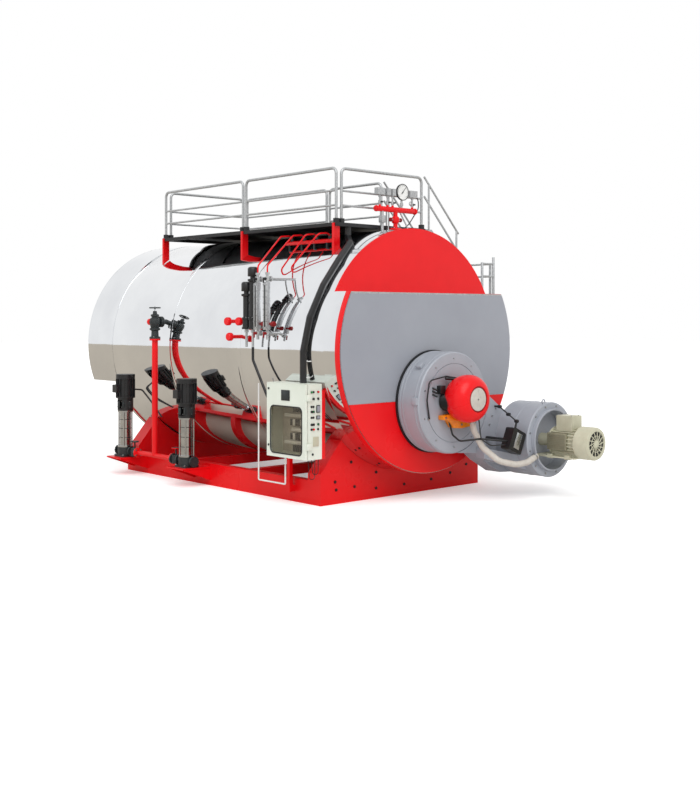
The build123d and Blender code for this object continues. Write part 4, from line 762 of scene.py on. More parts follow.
@dataclass
class Guards:
    """Galvanised handrails of the walkway, the landing and the stair.

    Attributes:
        post: Radius of the posts and the top rail.
        rail: Radius of the lower rails.
        bend: Radius of the corners.
        seat: From a guard's side to the middle of its posts.
        mid_drop: From the top rail down to the upper of the two inner rails.
        low_drop: From the top rail down to the lower one.
        split: From the walkway's front end to where two panels of a side meet.
    """

    post: float = 0.0145
    rail: float = 0.0105
    bend: float = 0.055
    seat: float = 0.020
    mid_drop: float = 0.215
    low_drop: float = 0.355
    split: float = 1.47

    def panel(self, bm: bmesh.types.BMesh, first: Vector, last: Vector, foot: float, top: float) -> None:
        """Add one bent panel with two inner rails.

        Args:
            bm: The mesh to add to.
            first: The first post in plan.
            last: The last post in plan.
            foot: Height of the posts' feet.
            top: Height of the top rail's middle.
        """
        near, far = (first.x, first.y), (last.x, last.y)
        corners = [(*near, foot), (*near, top), (*far, top), (*far, foot)]
        add_tube(bm, corners, self.post, self.bend, sides=18)
        for drop in (self.mid_drop, self.low_drop):
            height = top - drop
            add_tube(bm, [(first.x, first.y, height), (last.x, last.y, height)], self.rail)

    def walkway(self) -> None:
        """Build the four sides of the walkway's guard in place of the plain ones."""
        gap = 0.026
        for node, splits in (("guard_near_side", True), ("guard_far_side", True),
                             ("guard_rear_end", False), ("guard_front_end", False)):
            low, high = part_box(node)
            top = high.z - self.seat
            bm = bmesh.new()
            along_y = high.y - low.y > high.x - low.x
            if along_y:
                x = (low.x + high.x) / 2
                half = Vector((x, self.split_height(), 0))
                ends = [(low.y + self.seat, half.y - gap), (half.y + gap, high.y - self.seat)]
                for start, end in ends if splits else [(low.y, high.y)]:
                    self.panel(bm, Vector((x, start, 0)), Vector((x, end, 0)), low.z, top)
            else:
                y = (low.y + high.y) / 2
                first, last = Vector((low.x + self.seat, y, 0)), Vector((high.x - self.seat, y, 0))
                self.panel(bm, first, last, low.z, top)
            place_piece(bm, f"{node}_tubes", GALVANISED, stands_for=(node,))

    def split_height(self) -> float:
        """Return the place along Y where two panels of a long side meet."""
        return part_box("deck_floor")[0].y + self.split

    def landing(self) -> None:
        """Build the landing's two flat panels."""
        low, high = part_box("landing_guard")
        near, far, outer = low.y + self.seat, high.y - self.seat, high.x - self.seat
        corner = near + 2 * self.seat + 0.006
        with piece("landing_tubes", GALVANISED, stands_for=("landing_guard",)) as bm:
            for first, last in (((low.x + self.seat, near), (outer, near)), ((outer, corner), (outer, far))):
                add_rod(bm, (*first, low.z), (*first, low.z + 0.536), self.post, 20, edge=0.003)
                add_rod(bm, (*last, low.z), (*last, high.z), self.post, 20, edge=0.003)
                for height in (0.521, 0.386):
                    add_rod(bm, (*first, low.z + height), (*last, low.z + height), self.rail, 20)

    def stair(self) -> None:
        """Build the sloping rails of the upper stair."""
        low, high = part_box("stair_handrails")
        slope = math.tan(math.radians(47))
        start, end = low.x + 0.011, high.x - 0.011
        top = 3.170
        with piece("stair_tubes", GALVANISED, stands_for=("stair_handrails",)) as bm:
            for y in (low.y + 0.015, high.y - 0.015):
                for drop in (0.0, 0.2):
                    head = top - drop
                    tail = head - (end - start) * slope
                    add_rod(bm, (start, y, head), (end, y, tail), self.rail, 20, edge=0.003)
                for x, foot in ((start + 0.07, 2.594), (end - 0.03, low.z)):
                    add_rod(bm, (x, y, foot), (x, y, top - (x - start) * slope), self.rail, 20)

    def build(self) -> None:
        """Build all handrails."""
        self.walkway()
        self.landing()
        self.stair()


@dataclass
class Burner:
    """The burner's housing, its bulging cap and what hangs on them.

    Attributes:
        sides: Steps round the housing.
        groove: Radius of the groove in the front plate.
        neck: The cap's radius at the plate.
        bulge: From the plate to the cap's widest place.
        nose: The cap's radius at its front.
        disc: Radius of the grey disc in the cap's front.
    """

    sides: int = 160
    groove: float = 0.365
    neck: float = 0.100
    bulge: float = 0.185
    nose: float = 0.125
    disc: float = 0.106

    def housing(self) -> None:
        """Build the housing, its front plate and the plate's bolts."""
        low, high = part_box("burner_housing")
        centre = (low + high) / 2
        radius = (high.z - low.z) / 2
        length = high.y - low.y
        rim = 0.006
        profile = [
            (0.0, 0.0), (radius, 0.0), (radius, length - 0.022), (radius - 0.004, length - 0.020),
            (radius - 0.004, length - 0.016), (radius, length - 0.014), (radius, length - 0.010),
            (radius - 0.010, length), (self.groove + rim, length), (self.groove + rim, length - 0.006),
            (self.groove, length - 0.006), (self.groove, length), (0.0, length),
        ]
        bm = bmesh.new()
        add_turned(bm, Vector((centre.x, high.y, centre.z)), Vector((0, -1, 0)), profile, self.sides)
        place_piece(bm, "burner_drum", BURNER_PAINT, stands_for=("burner_housing",))

    def cap(self) -> None:
        """Build the red cap, two quarter ellipses round its axis, and the disc in its front."""
        low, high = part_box("burner_cap")
        x, z = (low.x + high.x) / 2, (low.z + high.z) / 2
        radius, length = (high.z - low.z) / 2, high.y - low.y
        profile = [(0.0, 0.0)]
        for step in range(13):
            turn = math.pi / 2 * step / 12
            swell = self.neck + (radius - self.neck) * math.sin(turn)
            profile.append((swell, self.bulge * (1 - math.cos(turn))))
        for step in range(1, 13):
            turn = math.pi / 2 * step / 12
            profile.append((
                self.nose + (radius - self.nose) * math.cos(turn),
                self.bulge + (length - self.bulge) * math.sin(turn),
            ))
        profile += [(self.nose - 0.004, length), (self.nose - 0.006, length - 0.012), (0.0, length - 0.012)]
        out = Vector((0, -1, 0))
        with piece("burner_cap_shell", RED_ENAMEL, stands_for=("burner_cap",)) as bm:
            add_turned(bm, (x, high.y, z), out, profile, self.sides)
        with piece("burner_cap_ring", DEEP_RED) as bm:
            add_rod(bm, (x, low.y + 0.014, z), (x, low.y + 0.008, z), self.nose - 0.006, 96, edge=0.002)
            add_ring(bm, (x, low.y + 0.009, z), (0, 1, 0), self.disc + 0.006, 0.008, 96, 10)
        with piece("burner_cap_disc", PALE_SLEEVE) as bm:
            add_rod(bm, (x, low.y + 0.010, z), (x, low.y + 0.003, z), self.disc, 96, edge=0.002)
            add_rod(bm, (x, low.y + 0.006, z + 0.03), (x, low.y + 0.001, z + 0.09), 0.003, 6)
        with piece("burner_cap_screws", PLATED_STEEL) as bm:
            add_bolt(bm, (x, low.y + 0.004, z), out, 0.007)
            add_bolts(bm, (x, high.y - 0.001, z), out, self.neck + 0.022, 8, 0.008)

    def hose(self) -> None:
        """Build the air hose as a smooth sleeve with a clip at each end."""
        route = [
            (0.100, -0.880, 0.900), (0.105, -0.885, 0.690), (0.160, -0.950, 0.520), (0.270, -1.060, 0.390),
            (0.420, -1.140, 0.352), (0.560, -1.160, 0.362), (0.700, -1.160, 0.411),
        ]
        with piece("air_hose", PALE_SLEEVE, stands_for=("burner_hose",)) as bm:
            add_tube(bm, route, 0.029, 0.150, sides=28, steps=8)
        with piece("air_hose_clips", PLATED_STEEL) as bm:
            add_rod(bm, (0.1037, -0.8837, 0.745), (0.1035, -0.8835, 0.757), 0.0305, 28)
            add_rod(bm, (0.669, -1.160, 0.4002), (0.683, -1.160, 0.4051), 0.0305, 28)

    def linkage(self) -> None:
        """Build the black bellows, the control cable and the small gear beside the cap."""
        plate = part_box("burner_housing")[0].y
        x, z = -0.130, 0.950
        profile = [(0.0, 0.0), (0.072, 0.0)]
        for fold in range(7):
            profile += [(0.086, 0.012 + fold * 0.018), (0.072, 0.021 + fold * 0.018)]
        profile += [(0.060, 0.145), (0.0, 0.145)]
        with piece("damper_bellows", BLACK_ABS) as bm:
            add_turned(bm, (x, plate, z), (0, -1, 0), profile, 40)
            add_rod(bm, (-0.03, plate - 0.08, 1.150), (-0.17, plate - 0.05, 1.165), 0.013, 20, edge=0.003)
            add_box(bm, (-0.235, plate - 0.05, 1.02), (-0.165, plate, 1.10), 0.005)
            cable = [
                (-0.03, plate - 0.06, 1.165), (-0.15, plate - 0.04, 1.185), (-0.365, plate - 0.03, 1.15),
                (-0.385, plate - 0.02, 0.97), (-0.345, plate - 0.012, 0.80),
            ]
            add_tube(bm, cable, 0.007, 0.05, sides=12)
            for height in (1.08, 1.05, 1.02):
                add_rod(bm, (-0.290, plate, height), (-0.275, plate - 0.045, height - 0.02), 0.009, 12)
            lead = [
                (-0.115, -0.780, 0.780), (-0.085, -0.800, 0.640), (-0.030, -0.840, 0.580),
                (0.130, -0.960, 0.600), (0.245, -1.050, 0.585), (0.365, -1.075, 0.570),
            ]
            add_tube(bm, lead, 0.009, 0.05, sides=12)
            lead = [
                (0.112, -0.950, 0.780), (0.108, -0.980, 0.600), (0.175, -1.045, 0.540),
                (0.365, -1.075, 0.540),
            ]
            add_tube(bm, lead, 0.006, 0.05, sides=12)
            links = ((0.590, -0.800, 0.865), (0.565, -0.930, 0.800), (0.538, -1.050, 0.745))
            for first, last in zip(links, links[1:]):
                add_rod(bm, first, last, 0.007, 12)
            for lx, ly, lz in links:
                add_rod(bm, (lx, ly + 0.018, lz), (lx, ly - 0.018, lz), 0.017, 20, edge=0.003)
            add_rod(bm, (0.590, plate, 0.865), (0.590, -0.800, 0.865), 0.010, 16)
            add_rod(bm, (0.512, -1.050, 0.650), (0.538, -1.050, 0.745), 0.010, 16)
        with piece("burner_plate_bolts", PLATED_STEEL) as bm:
            centre = middle("burner_housing")
            add_bolts(bm, (centre.x, plate, centre.z), (0, -1, 0), 0.415, 10, 0.006)
            add_bolt(bm, (-0.345, plate, 0.80), (0, -1, 0), 0.012)
            for bx, bz in ((-0.185, 0.803), (0.190, 0.731), (0.03, 0.730)):
                add_bolt(bm, (bx, plate - 0.070, bz), (0, -1, 0), 0.009)
        outline = [
            (-0.215, 0.825), (-0.092, 0.834), (-0.024, 0.770), (0.222, 0.752), (0.222, 0.713), (0.044, 0.692),
            (-0.079, 0.702), (-0.133, 0.778), (-0.215, 0.783),
        ]
        with piece("linkage_strap", ORANGE_ENAMEL, stands_for=("burner_bracket",)) as bm:
            add_plate(bm, [(px, plate, pz) for px, pz in outline], (0, -0.070, 0), 0.005)
        with piece("housing_bands", BURNER_PAINT) as bm:
            for y, lift in ((-0.500, 0.004), (-0.535, 0.002), (-0.690, 0.002)):
                add_ring(bm, (centre.x, y, centre.z), (0, 1, 0), 0.471 + lift, 0.006, 160, 10)
        with piece("actuator_plate", PLATED_STEEL) as bm:
            box_low, box_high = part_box("servo_box")
            sx, sz = (box_low.x + box_high.x) / 2, (box_low.z + box_high.z) / 2
            lean = Matrix.Rotation(math.radians(24), 4, "Y")
            corners = (sx - 0.035, box_low.y - 0.003, sz - 0.075), (sx + 0.045, box_low.y + 0.001, sz + 0.075)
            add_box(bm, *corners, 0.002, turn=lean)
        with piece("housing_catches", BURNER_PAINT) as bm:
            tilt = Matrix.Rotation(math.radians(-43), 4, "Y")
            add_box(bm, (-0.365, -0.66, 1.262), (-0.305, -0.59, 1.302), 0.005, turn=tilt)
            add_box(bm, (-0.492, -0.73, 0.93), (-0.468, -0.66, 1.0), 0.005)

    def build(self) -> None:
        """Build the burner's pieces."""
        self.housing()
        self.cap()
        self.hose()
        self.linkage()


@dataclass
class Fan:
    """The combustion fan: scroll, inlet ring, motor and cowl.

    Attributes:
        sides: Steps round the scroll.
    """

    sides: int = 128

    def scroll(self) -> None:
        """Build the scroll with its open inlet ring."""
        low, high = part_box("fan_scroll")
        centre = (low + high) / 2
        radius = (high.z - low.z) / 2
        ring, wall, proud, deep = 0.300, 0.016, 0.040, 0.150
        length = high.y - low.y
        profile = [
            (0.0, 0.0), (radius, 0.0), (radius, length - proud - 0.008), (radius - 0.008, length - proud),
            (ring, length - proud), (ring, length), (ring - wall, length), (ring - wall, length - deep),
            (0.0, length - deep),
        ]
        bm = bmesh.new()
        add_turned(bm, Vector((centre.x, high.y, centre.z)), Vector((0, -1, 0)), profile, self.sides)
        place_piece(bm, "fan_case", BURNER_PAINT, stands_for=("fan_scroll",))

    def fittings(self) -> None:
        """Build the scroll's rolled edges and bolts, its lifting eye and the duct's bolts."""
        low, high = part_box("fan_scroll")
        centre = (low + high) / 2
        radius, face = (high.z - low.z) / 2, low.y + 0.040
        out = Vector((0, -1, 0))
        with piece("fan_case_edges", BURNER_PAINT) as bm:
            for y in (face + 0.010, high.y - 0.2):
                add_ring(bm, (centre.x, y, centre.z), out, radius - 0.003, 0.006, 128, 10)
            add_ring(bm, (centre.x, low.y + 0.003, centre.z), out, 0.295, 0.006, 128, 10)
            eye = (centre.x - 0.075, face + 0.03, centre.z + radius + 0.008)
            add_ring(bm, eye, (0, 1, 0), 0.022, 0.006, 32, 10)
        with piece("fan_case_bolts", PLATED_STEEL) as bm:
            add_bolts(bm, (centre.x, face, centre.z), out, 0.330, 12, 0.008)
            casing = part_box("burner_housing")[0].y
            for x, z in ((0.605, 0.845), (0.549, 0.772), (0.508, 0.691)):
                add_bolt(bm, (x, casing, z), out, 0.009)

    def cowl(self) -> None:
        """Build the motor's cowl: a turned shell with a sunk grille of slanting blades."""
        low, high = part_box("motor_cowl")
        out = Vector((0, -1, 0))
        centre = (low + high) / 2
        radius, length = (high.z - low.z) / 2, high.y - low.y
        profile = [
            (0.0, 0.0), (radius, 0.0), (radius, length - 0.020), (radius - 0.006, length - 0.006),
            (radius - 0.020, length), (0.118, length), (0.116, length - 0.012), (0.0, length - 0.012),
        ]
        with piece("cowl_shell", MOTOR_ENAMEL, stands_for=("motor_cowl",)) as bm:
            add_turned(bm, (centre.x, high.y, centre.z), out, profile, 96)
            back, front = (centre.x, low.y + 0.012, centre.z), (centre.x, low.y + 0.002, centre.z)
            add_rod(bm, back, front, 0.034, 40, edge=0.003)
            for blade in range(14):
                turn = math.tau * blade / 14
                start = Vector((math.cos(turn), 0, math.sin(turn))) * 0.030
                end = Vector((math.cos(turn + 0.55), 0, math.sin(turn + 0.55))) * 0.117
                seat = Vector((centre.x, low.y + 0.006, centre.z))
                add_rod(bm, seat + start, seat + end, 0.0045, 8)
            add_ring(bm, (centre.x, low.y + 0.005, centre.z), out, 0.076, 0.003, 72, 8)
        with piece("cowl_shadow", BLACK_ABS) as bm:
            back, front = (centre.x, low.y + 0.0125, centre.z), (centre.x, low.y + 0.0105, centre.z)
            add_rod(bm, back, front, 0.1155, 72)

    def motor(self) -> None:
        """Build the motor's ribbed side cover, its feet and its bolts."""
        low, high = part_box("fan_motor")
        # The side cover and its fins take the darker enamel, painted shade of the finned side.
        with piece("motor_side_cover", SHADED_FIN_ENAMEL) as bm:
            first = (low.x - 0.006, low.y + 0.09, low.z + 0.075)
            last = (low.x + 0.03, low.y + 0.31, low.z + 0.235)
            add_box(bm, first, last, 0.006)
            for fin in range(9):
                z = low.z + 0.085 + fin * 0.0165
                add_box(bm, (low.x - 0.012, low.y + 0.10, z), (low.x - 0.004, low.y + 0.30, z + 0.005), 0.001)
        with piece("motor_feet", MOTOR_ENAMEL) as bm:
            for x in (low.x + 0.01, high.x - 0.05):
                for y in (low.y + 0.06, low.y + 0.26):
                    add_box(bm, (x, y, low.z - 0.010), (x + 0.04, y + 0.06, low.z + 0.03), 0.003)
        with piece("motor_bolts", PLATED_STEEL) as bm:
            x = (low.x + high.x) / 2
            for dx in (-0.055, 0.055):
                for y in (low.y + 0.085, high.y - 0.24):
                    add_bolt(bm, (x + dx, y, high.z), (0, 0, 1), 0.006)

    def build(self) -> None:
        """Build the fan's pieces."""
        self.scroll()
        self.fittings()
        self.cowl()
        self.motor()


@dataclass
class SteamHeader:
    """The pipe over the drum with its stems, cocks, switches and dial gauge.

    Attributes:
        y: Where the header lies along the drum.
        pipe: The cross pipe's height.
        risers: Where the switches' risers stand along X.
        dial: Radius of the gauge's face.
        marks: How many marks are on the face.
    """

    y: float = 0.036
    pipe: float = 2.790
    risers: tuple[float, ...] = (-0.215, -0.110, -0.040, 0.235)
    dial: float = 0.0755
    marks: int = 25

    def at(self, x: float, z: float) -> Vector:
        """Return a point in the header's plane."""
        return Vector((x, self.y, z))

    def pipes(self) -> None:
        """Build the red pipes with the stem's flange and valve."""
        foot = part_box("steam_header")[0].z
        up = Vector((0, 0, 1))
        with piece("header_pipes", RED_ENAMEL, stands_for=("steam_header",)) as bm:
            add_rod(bm, self.at(-0.280, self.pipe), self.at(0.290, self.pipe), 0.0265, 40, edge=0.006)
            for x in (-0.272, 0.262):
                add_rod(bm, self.at(x, self.pipe), self.at(x + 0.02, self.pipe), 0.031, 40, edge=0.003)
            add_rod(bm, self.at(0, foot), self.at(0, self.pipe), 0.022)
            add_rod(bm, self.at(0, foot), self.at(0, foot + 0.034), 0.061, 48, edge=0.003)
            body = [
                (0.0, 0.0), (0.026, 0.0), (0.037, 0.012), (0.041, 0.035), (0.037, 0.058), (0.026, 0.070),
                (0.0, 0.070),
            ]
            add_turned(bm, self.at(0, 2.656), up, body, 40)
            for x in self.risers:
                add_rod(bm, self.at(x, self.pipe), self.at(x, self.pipe + 0.04), 0.013, 20, edge=0.002)
        with piece("header_flange_bolts", PLATED_STEEL) as bm:
            add_bolts(bm, self.at(0, foot + 0.034), up, 0.045, 6, 0.007)

    def cocks(self) -> None:
        """Build the steel risers, cocks, siphon and the second stem."""
        with piece("header_cocks", GALVANISED) as bm:
            for x in self.risers:
                add_rod(bm, self.at(x, self.pipe + 0.03), self.at(x, 2.926), 0.009, 16)
                add_rod(bm, self.at(x, 2.838), self.at(x, 2.870), 0.017, 6)
                add_rod(bm, self.at(x, 2.905), self.at(x, 2.926), 0.014, 6)
            x = 0.085
            add_rod(bm, self.at(x, self.pipe), self.at(x, 2.890), 0.011, 16)
            add_rod(bm, self.at(x, 2.835), self.at(x, 2.862), 0.018, 6)
            add_ring(bm, self.at(0.212, 2.866), (0, 1, 0), 0.017, 0.005, 32, 10)
            add_rod(bm, self.at(-0.181, 2.570), self.at(-0.181, self.pipe), 0.015, 20)
            add_box(bm, (-0.207, self.y - 0.026, 2.655), (-0.155, self.y + 0.026, 2.725), 0.004)
            add_rod(bm, self.at(-0.099, 2.580), self.at(-0.099, self.pipe), 0.006, 12)
            add_rod(bm, self.at(0.060, 2.775), self.at(0.205, 2.572), 0.008, 12)
            add_rod(bm, self.at(-0.075, 2.691), self.at(0.075, 2.691), 0.010, 16)
        with piece("header_knobs", DEEP_RED) as bm:
            for x in (-0.068, 0.068):
                add_rod(bm, self.at(x - 0.010, 2.691), self.at(x + 0.010, 2.691), 0.021, 24, edge=0.005)
        with piece("header_leads", BLACK_ABS) as bm:
            add_rod(bm, self.at(-0.126, 2.580), self.at(-0.126, self.pipe), 0.005, 12)
            route = ((0.280, 2.945), (0.325, 2.935), (0.325, 2.820), (0.190, 2.660), (0.085, 2.586))
            lead = [self.at(x, z) for x, z in route]
            add_tube(bm, lead, 0.0055, 0.07, sides=10)
            for x in self.risers:
                add_box(bm, (x - 0.004, self.y - 0.045, 2.846), (x + 0.004, self.y - 0.012, 2.862), 0.002)

    def gauge(self) -> None:
        """Build the gauge's bezel, white face, marks and pointer."""
        low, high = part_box("pressure_gauge")
        x, z = (low.x + high.x) / 2, (low.z + high.z) / 2
        face = low.y + 0.0052

        def point(angle: float, radius: float) -> Vector:
            """Return a point on the face at an angle from +X and a radius."""
            turn = math.radians(angle)
            return Vector((x + radius * math.cos(turn), face, z + radius * math.sin(turn)))

        with piece("gauge_bezel", BLACK_ABS, stands_for=("pressure_gauge",)) as bm:
            add_rod(bm, (x, low.y + 0.026, z), (x, low.y + 0.0065, z), self.dial + 0.005, 72, edge=0.003)
            add_rod(bm, (x, low.y + 0.046, z), (x, low.y + 0.020, z), 0.03, 40, edge=0.003)
            add_ring(bm, (x, low.y + 0.005, z), (0, 1, 0), self.dial + 0.0035, 0.004, 72, 12)
            for mark in range(self.marks):
                angle = 225 - 270 * mark / (self.marks - 1)
                inner = 0.057 if mark % 4 == 0 else 0.063
                add_rod(bm, point(angle, inner), point(angle, 0.070), 0.002, 4)
            add_rod(bm, point(230, 0.026), point(50, 0.062), 0.006, 4, tip=0.002)
            add_rod(bm, (x, face + 0.001, z), (x, face - 0.003, z), 0.007, 24)
        with piece("gauge_face", WHITE_PVC) as bm:
            add_rod(bm, (x, low.y + 0.0065, z), (x, face, z), self.dial, 72)

    def build(self) -> None:
        """Build the header's pieces."""
        self.pipes()
        self.cocks()
        self.gauge()


@dataclass
class LevelGear:
    """What hangs on the drum's left flank: drop pipes, sight columns, level probes and capped stubs.

    Attributes:
        manifold: X and height of the manifold under the walkway.
        drops: Along Y, the places of its valves and drop pipes.
        column_x: Where the sight columns stand.
        columns: Their places along Y.
        probe_x: Where the probes stand.
        probes: Place along Y and top height of each probe.
        caps: Place along Y and height of each capped stub.
    """

    manifold: tuple[float, float] = (-0.640, 2.471)
    drops: tuple[float, ...] = (0.855, 0.665, 0.475, 0.285)
    column_x: float = -1.300
    columns: tuple[float, float] = (0.570, 0.425)
    probe_x: float = -1.290
    probes: tuple[tuple[float, float], ...] = ((0.760, 2.070), (0.660, 2.210))
    caps: tuple[tuple[float, float], ...] = ((1.030, 1.690), (0.850, 1.690), (1.000, 1.540))

    def drop_pipes(self) -> None:
        """Build the manifold, its stubs and the four bent drop pipes, with a dark valve on each."""
        x, z = self.manifold
        ends = [(self.column_x, y, 2.150) for y in self.columns]
        ends += [(-0.915, 0.670, 2.150), (-0.897, 0.540, 2.168)]
        leads = [(self.column_x, y, 2.215) for y in self.columns]
        leads += [(-0.940, 0.670, 2.190), (-0.922, 0.540, 2.208)]
        with piece("drop_pipe_run", RED_ENAMEL, stands_for=("vent_manifold",)) as bm:
            add_rod(bm, (x, 0.190, z), (x, 0.950, z), 0.020, 28, edge=0.004)
            for y, lead, end in zip(self.drops, leads, ends):
                route = [(x, y, z), (x, y, z + 0.075), (x - 0.15, y, z + 0.060), lead, end]
                add_tube(bm, route, 0.008, 0.05, sides=14)
        with piece("drop_pipe_valves", CAST_IRON) as bm:
            for y in self.drops:
                add_rod(bm, (x, y + 0.0475, 2.38), (x, y + 0.0475, z), 0.010, 14)
                add_rod(bm, (x, y, z + 0.012), (x, y, z + 0.046), 0.017, 20, edge=0.003)
                add_box(bm, (x - 0.055, y - 0.006, z + 0.048), (x + 0.012, y + 0.006, z + 0.054), 0.001)

    def sight_columns(self) -> None:
        """Build the two sight columns with their bolted glass bodies and cocks."""
        x = self.column_x
        with piece("sight_column_bodies", GALVANISED, stands_for=("level_columns",)) as bm:
            for y in self.columns:
                add_rod(bm, (x, y, 1.520), (x, y, 2.150), 0.014, 24)
                for low, high in ((1.565, 1.600), (2.070, 2.110), (2.130, 2.150)):
                    add_rod(bm, (x, y, low), (x, y, high), 0.022, 6)
                for z, size in ((1.580, 0.014), (2.090, 0.010)):
                    add_rod(bm, (x, y, z), (0.01 - drum_side(z), y, z), size, 24)
                    add_rod(bm, (x + 0.03, y, z), (x + 0.045, y, z), 0.026, 24, edge=0.002)
                add_box(bm, (x - 0.032, y - 0.029, 1.612), (x + 0.014, y + 0.029, 2.058), 0.004)
        with piece("sight_column_bolts", PLATED_STEEL) as bm:
            for y in self.columns:
                for step in range(8):
                    for side in (-0.021, 0.021):
                        add_bolt(bm, (x - 0.032, y + side, 1.635 + step * 0.057), (-1, 0, 0), 0.005)
        with piece("sight_glasses", BLACK_ABS) as bm:
            for y in self.columns:
                add_box(bm, (x - 0.0335, y - 0.009, 1.640), (x - 0.030, y + 0.009, 2.030), 0.001)
                add_rod(bm, (x, y, 2.090), (x - 0.045, y, 2.090), 0.013, 20, edge=0.003)
                add_box(bm, (x - 0.052, y - 0.007, 2.050), (x - 0.042, y + 0.007, 2.100), 0.002)
        with piece("sight_column_cocks", DEEP_RED) as bm:
            for y in self.columns:
                add_rod(bm, (x + 0.01, y, 1.667), (x + 0.01, y - 0.085, 1.667), 0.012, 20, edge=0.002)
                add_rod(bm, (x + 0.01, y - 0.055, 1.667), (x + 0.01, y - 0.095, 1.667), 0.024, 24, edge=0.004)
                add_rod(bm, (x, y, 1.580), (x - 0.042, y, 1.580), 0.013, 20, edge=0.003)
                add_box(bm, (x - 0.050, y - 0.008, 1.538), (x - 0.040, y + 0.008, 1.592), 0.002)

    def level_probes(self) -> None:
        """Build the two black probes with their caps, glands and drains."""
        x, foot = self.probe_x, 1.616
        up = Vector((0, 0, 1))
        with piece("probe_bodies", BLACK_ABS, stands_for=("level_probes",)) as bm:
            for y, top in self.probes:
                neck = top - foot - 0.138
                profile = [
                    (0.0, 0.0), (0.044, 0.0), (0.044, 0.020), (0.038, 0.024), (0.038, 0.086), (0.044, 0.090),
                    (0.044, 0.110), (0.033, 0.114), (0.033, neck - 0.004), (0.046, neck),
                    (0.050, neck + 0.004), (0.050, neck + 0.018), (0.046, neck + 0.022),
                    (0.026, neck + 0.024), (0.026, neck + 0.046), (0.0, neck + 0.046),
                ]
                add_turned(bm, (x, y, foot), up, profile, 40)
                add_rod(bm, (x, y, 1.87), (x, y - 0.048, 1.87), 0.011, 16, edge=0.002)
        with piece("probe_caps", BLACK_ABS) as bm:
            for y, top in self.probes:
                profile = [
                    (0.0, 0.0), (0.047, 0.0), (0.050, 0.005), (0.050, 0.072), (0.044, 0.084), (0.030, 0.092),
                    (0.0, 0.092),
                ]
                add_turned(bm, (x, y, top - 0.092), up, profile, 40)
        with piece("probe_drains", GALVANISED) as bm:
            for y, _ in self.probes:
                add_rod(bm, (x, y, 1.446), (x, y, foot), 0.012, 20)
                add_rod(bm, (x, y, 1.585), (x, y, 1.612), 0.020, 6)
                add_rod(bm, (x, y, 1.666), (0.01 - drum_side(1.666), y, 1.666), 0.022, 24)
                add_bolts(bm, (x, y, foot + 0.110), up, 0.038, 4, 0.005)

    def capped_stubs(self) -> None:
        """Build the round red caps on their stubs, and the one on the feed valve."""
        profile = [(0.0, 0.0), (0.036, 0.0), (0.040, 0.006), (0.040, 0.036), (0.034, 0.046), (0.0, 0.046)]
        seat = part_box("pipe_end_caps")[1].y - 0.046
        with piece("red_end_caps", RED_ENAMEL, stands_for=("pipe_end_caps",)) as bm:
            for y, z in self.caps:
                add_turned(bm, (self.probe_x, y, z), (-1, 0, 0), profile, 40)
                add_rod(bm, (self.probe_x, y, z), (0.01 - drum_side(z), y, z), 0.018, 24)
            add_turned(bm, (-1.285, seat, 1.680), (0, 1, 0), [(r * 0.87, h) for r, h in profile], 40)

    def build(self) -> None:
        """Build the flank's pieces."""
        self.drop_pipes()
        self.sight_columns()
        self.level_probes()
        self.capped_stubs()


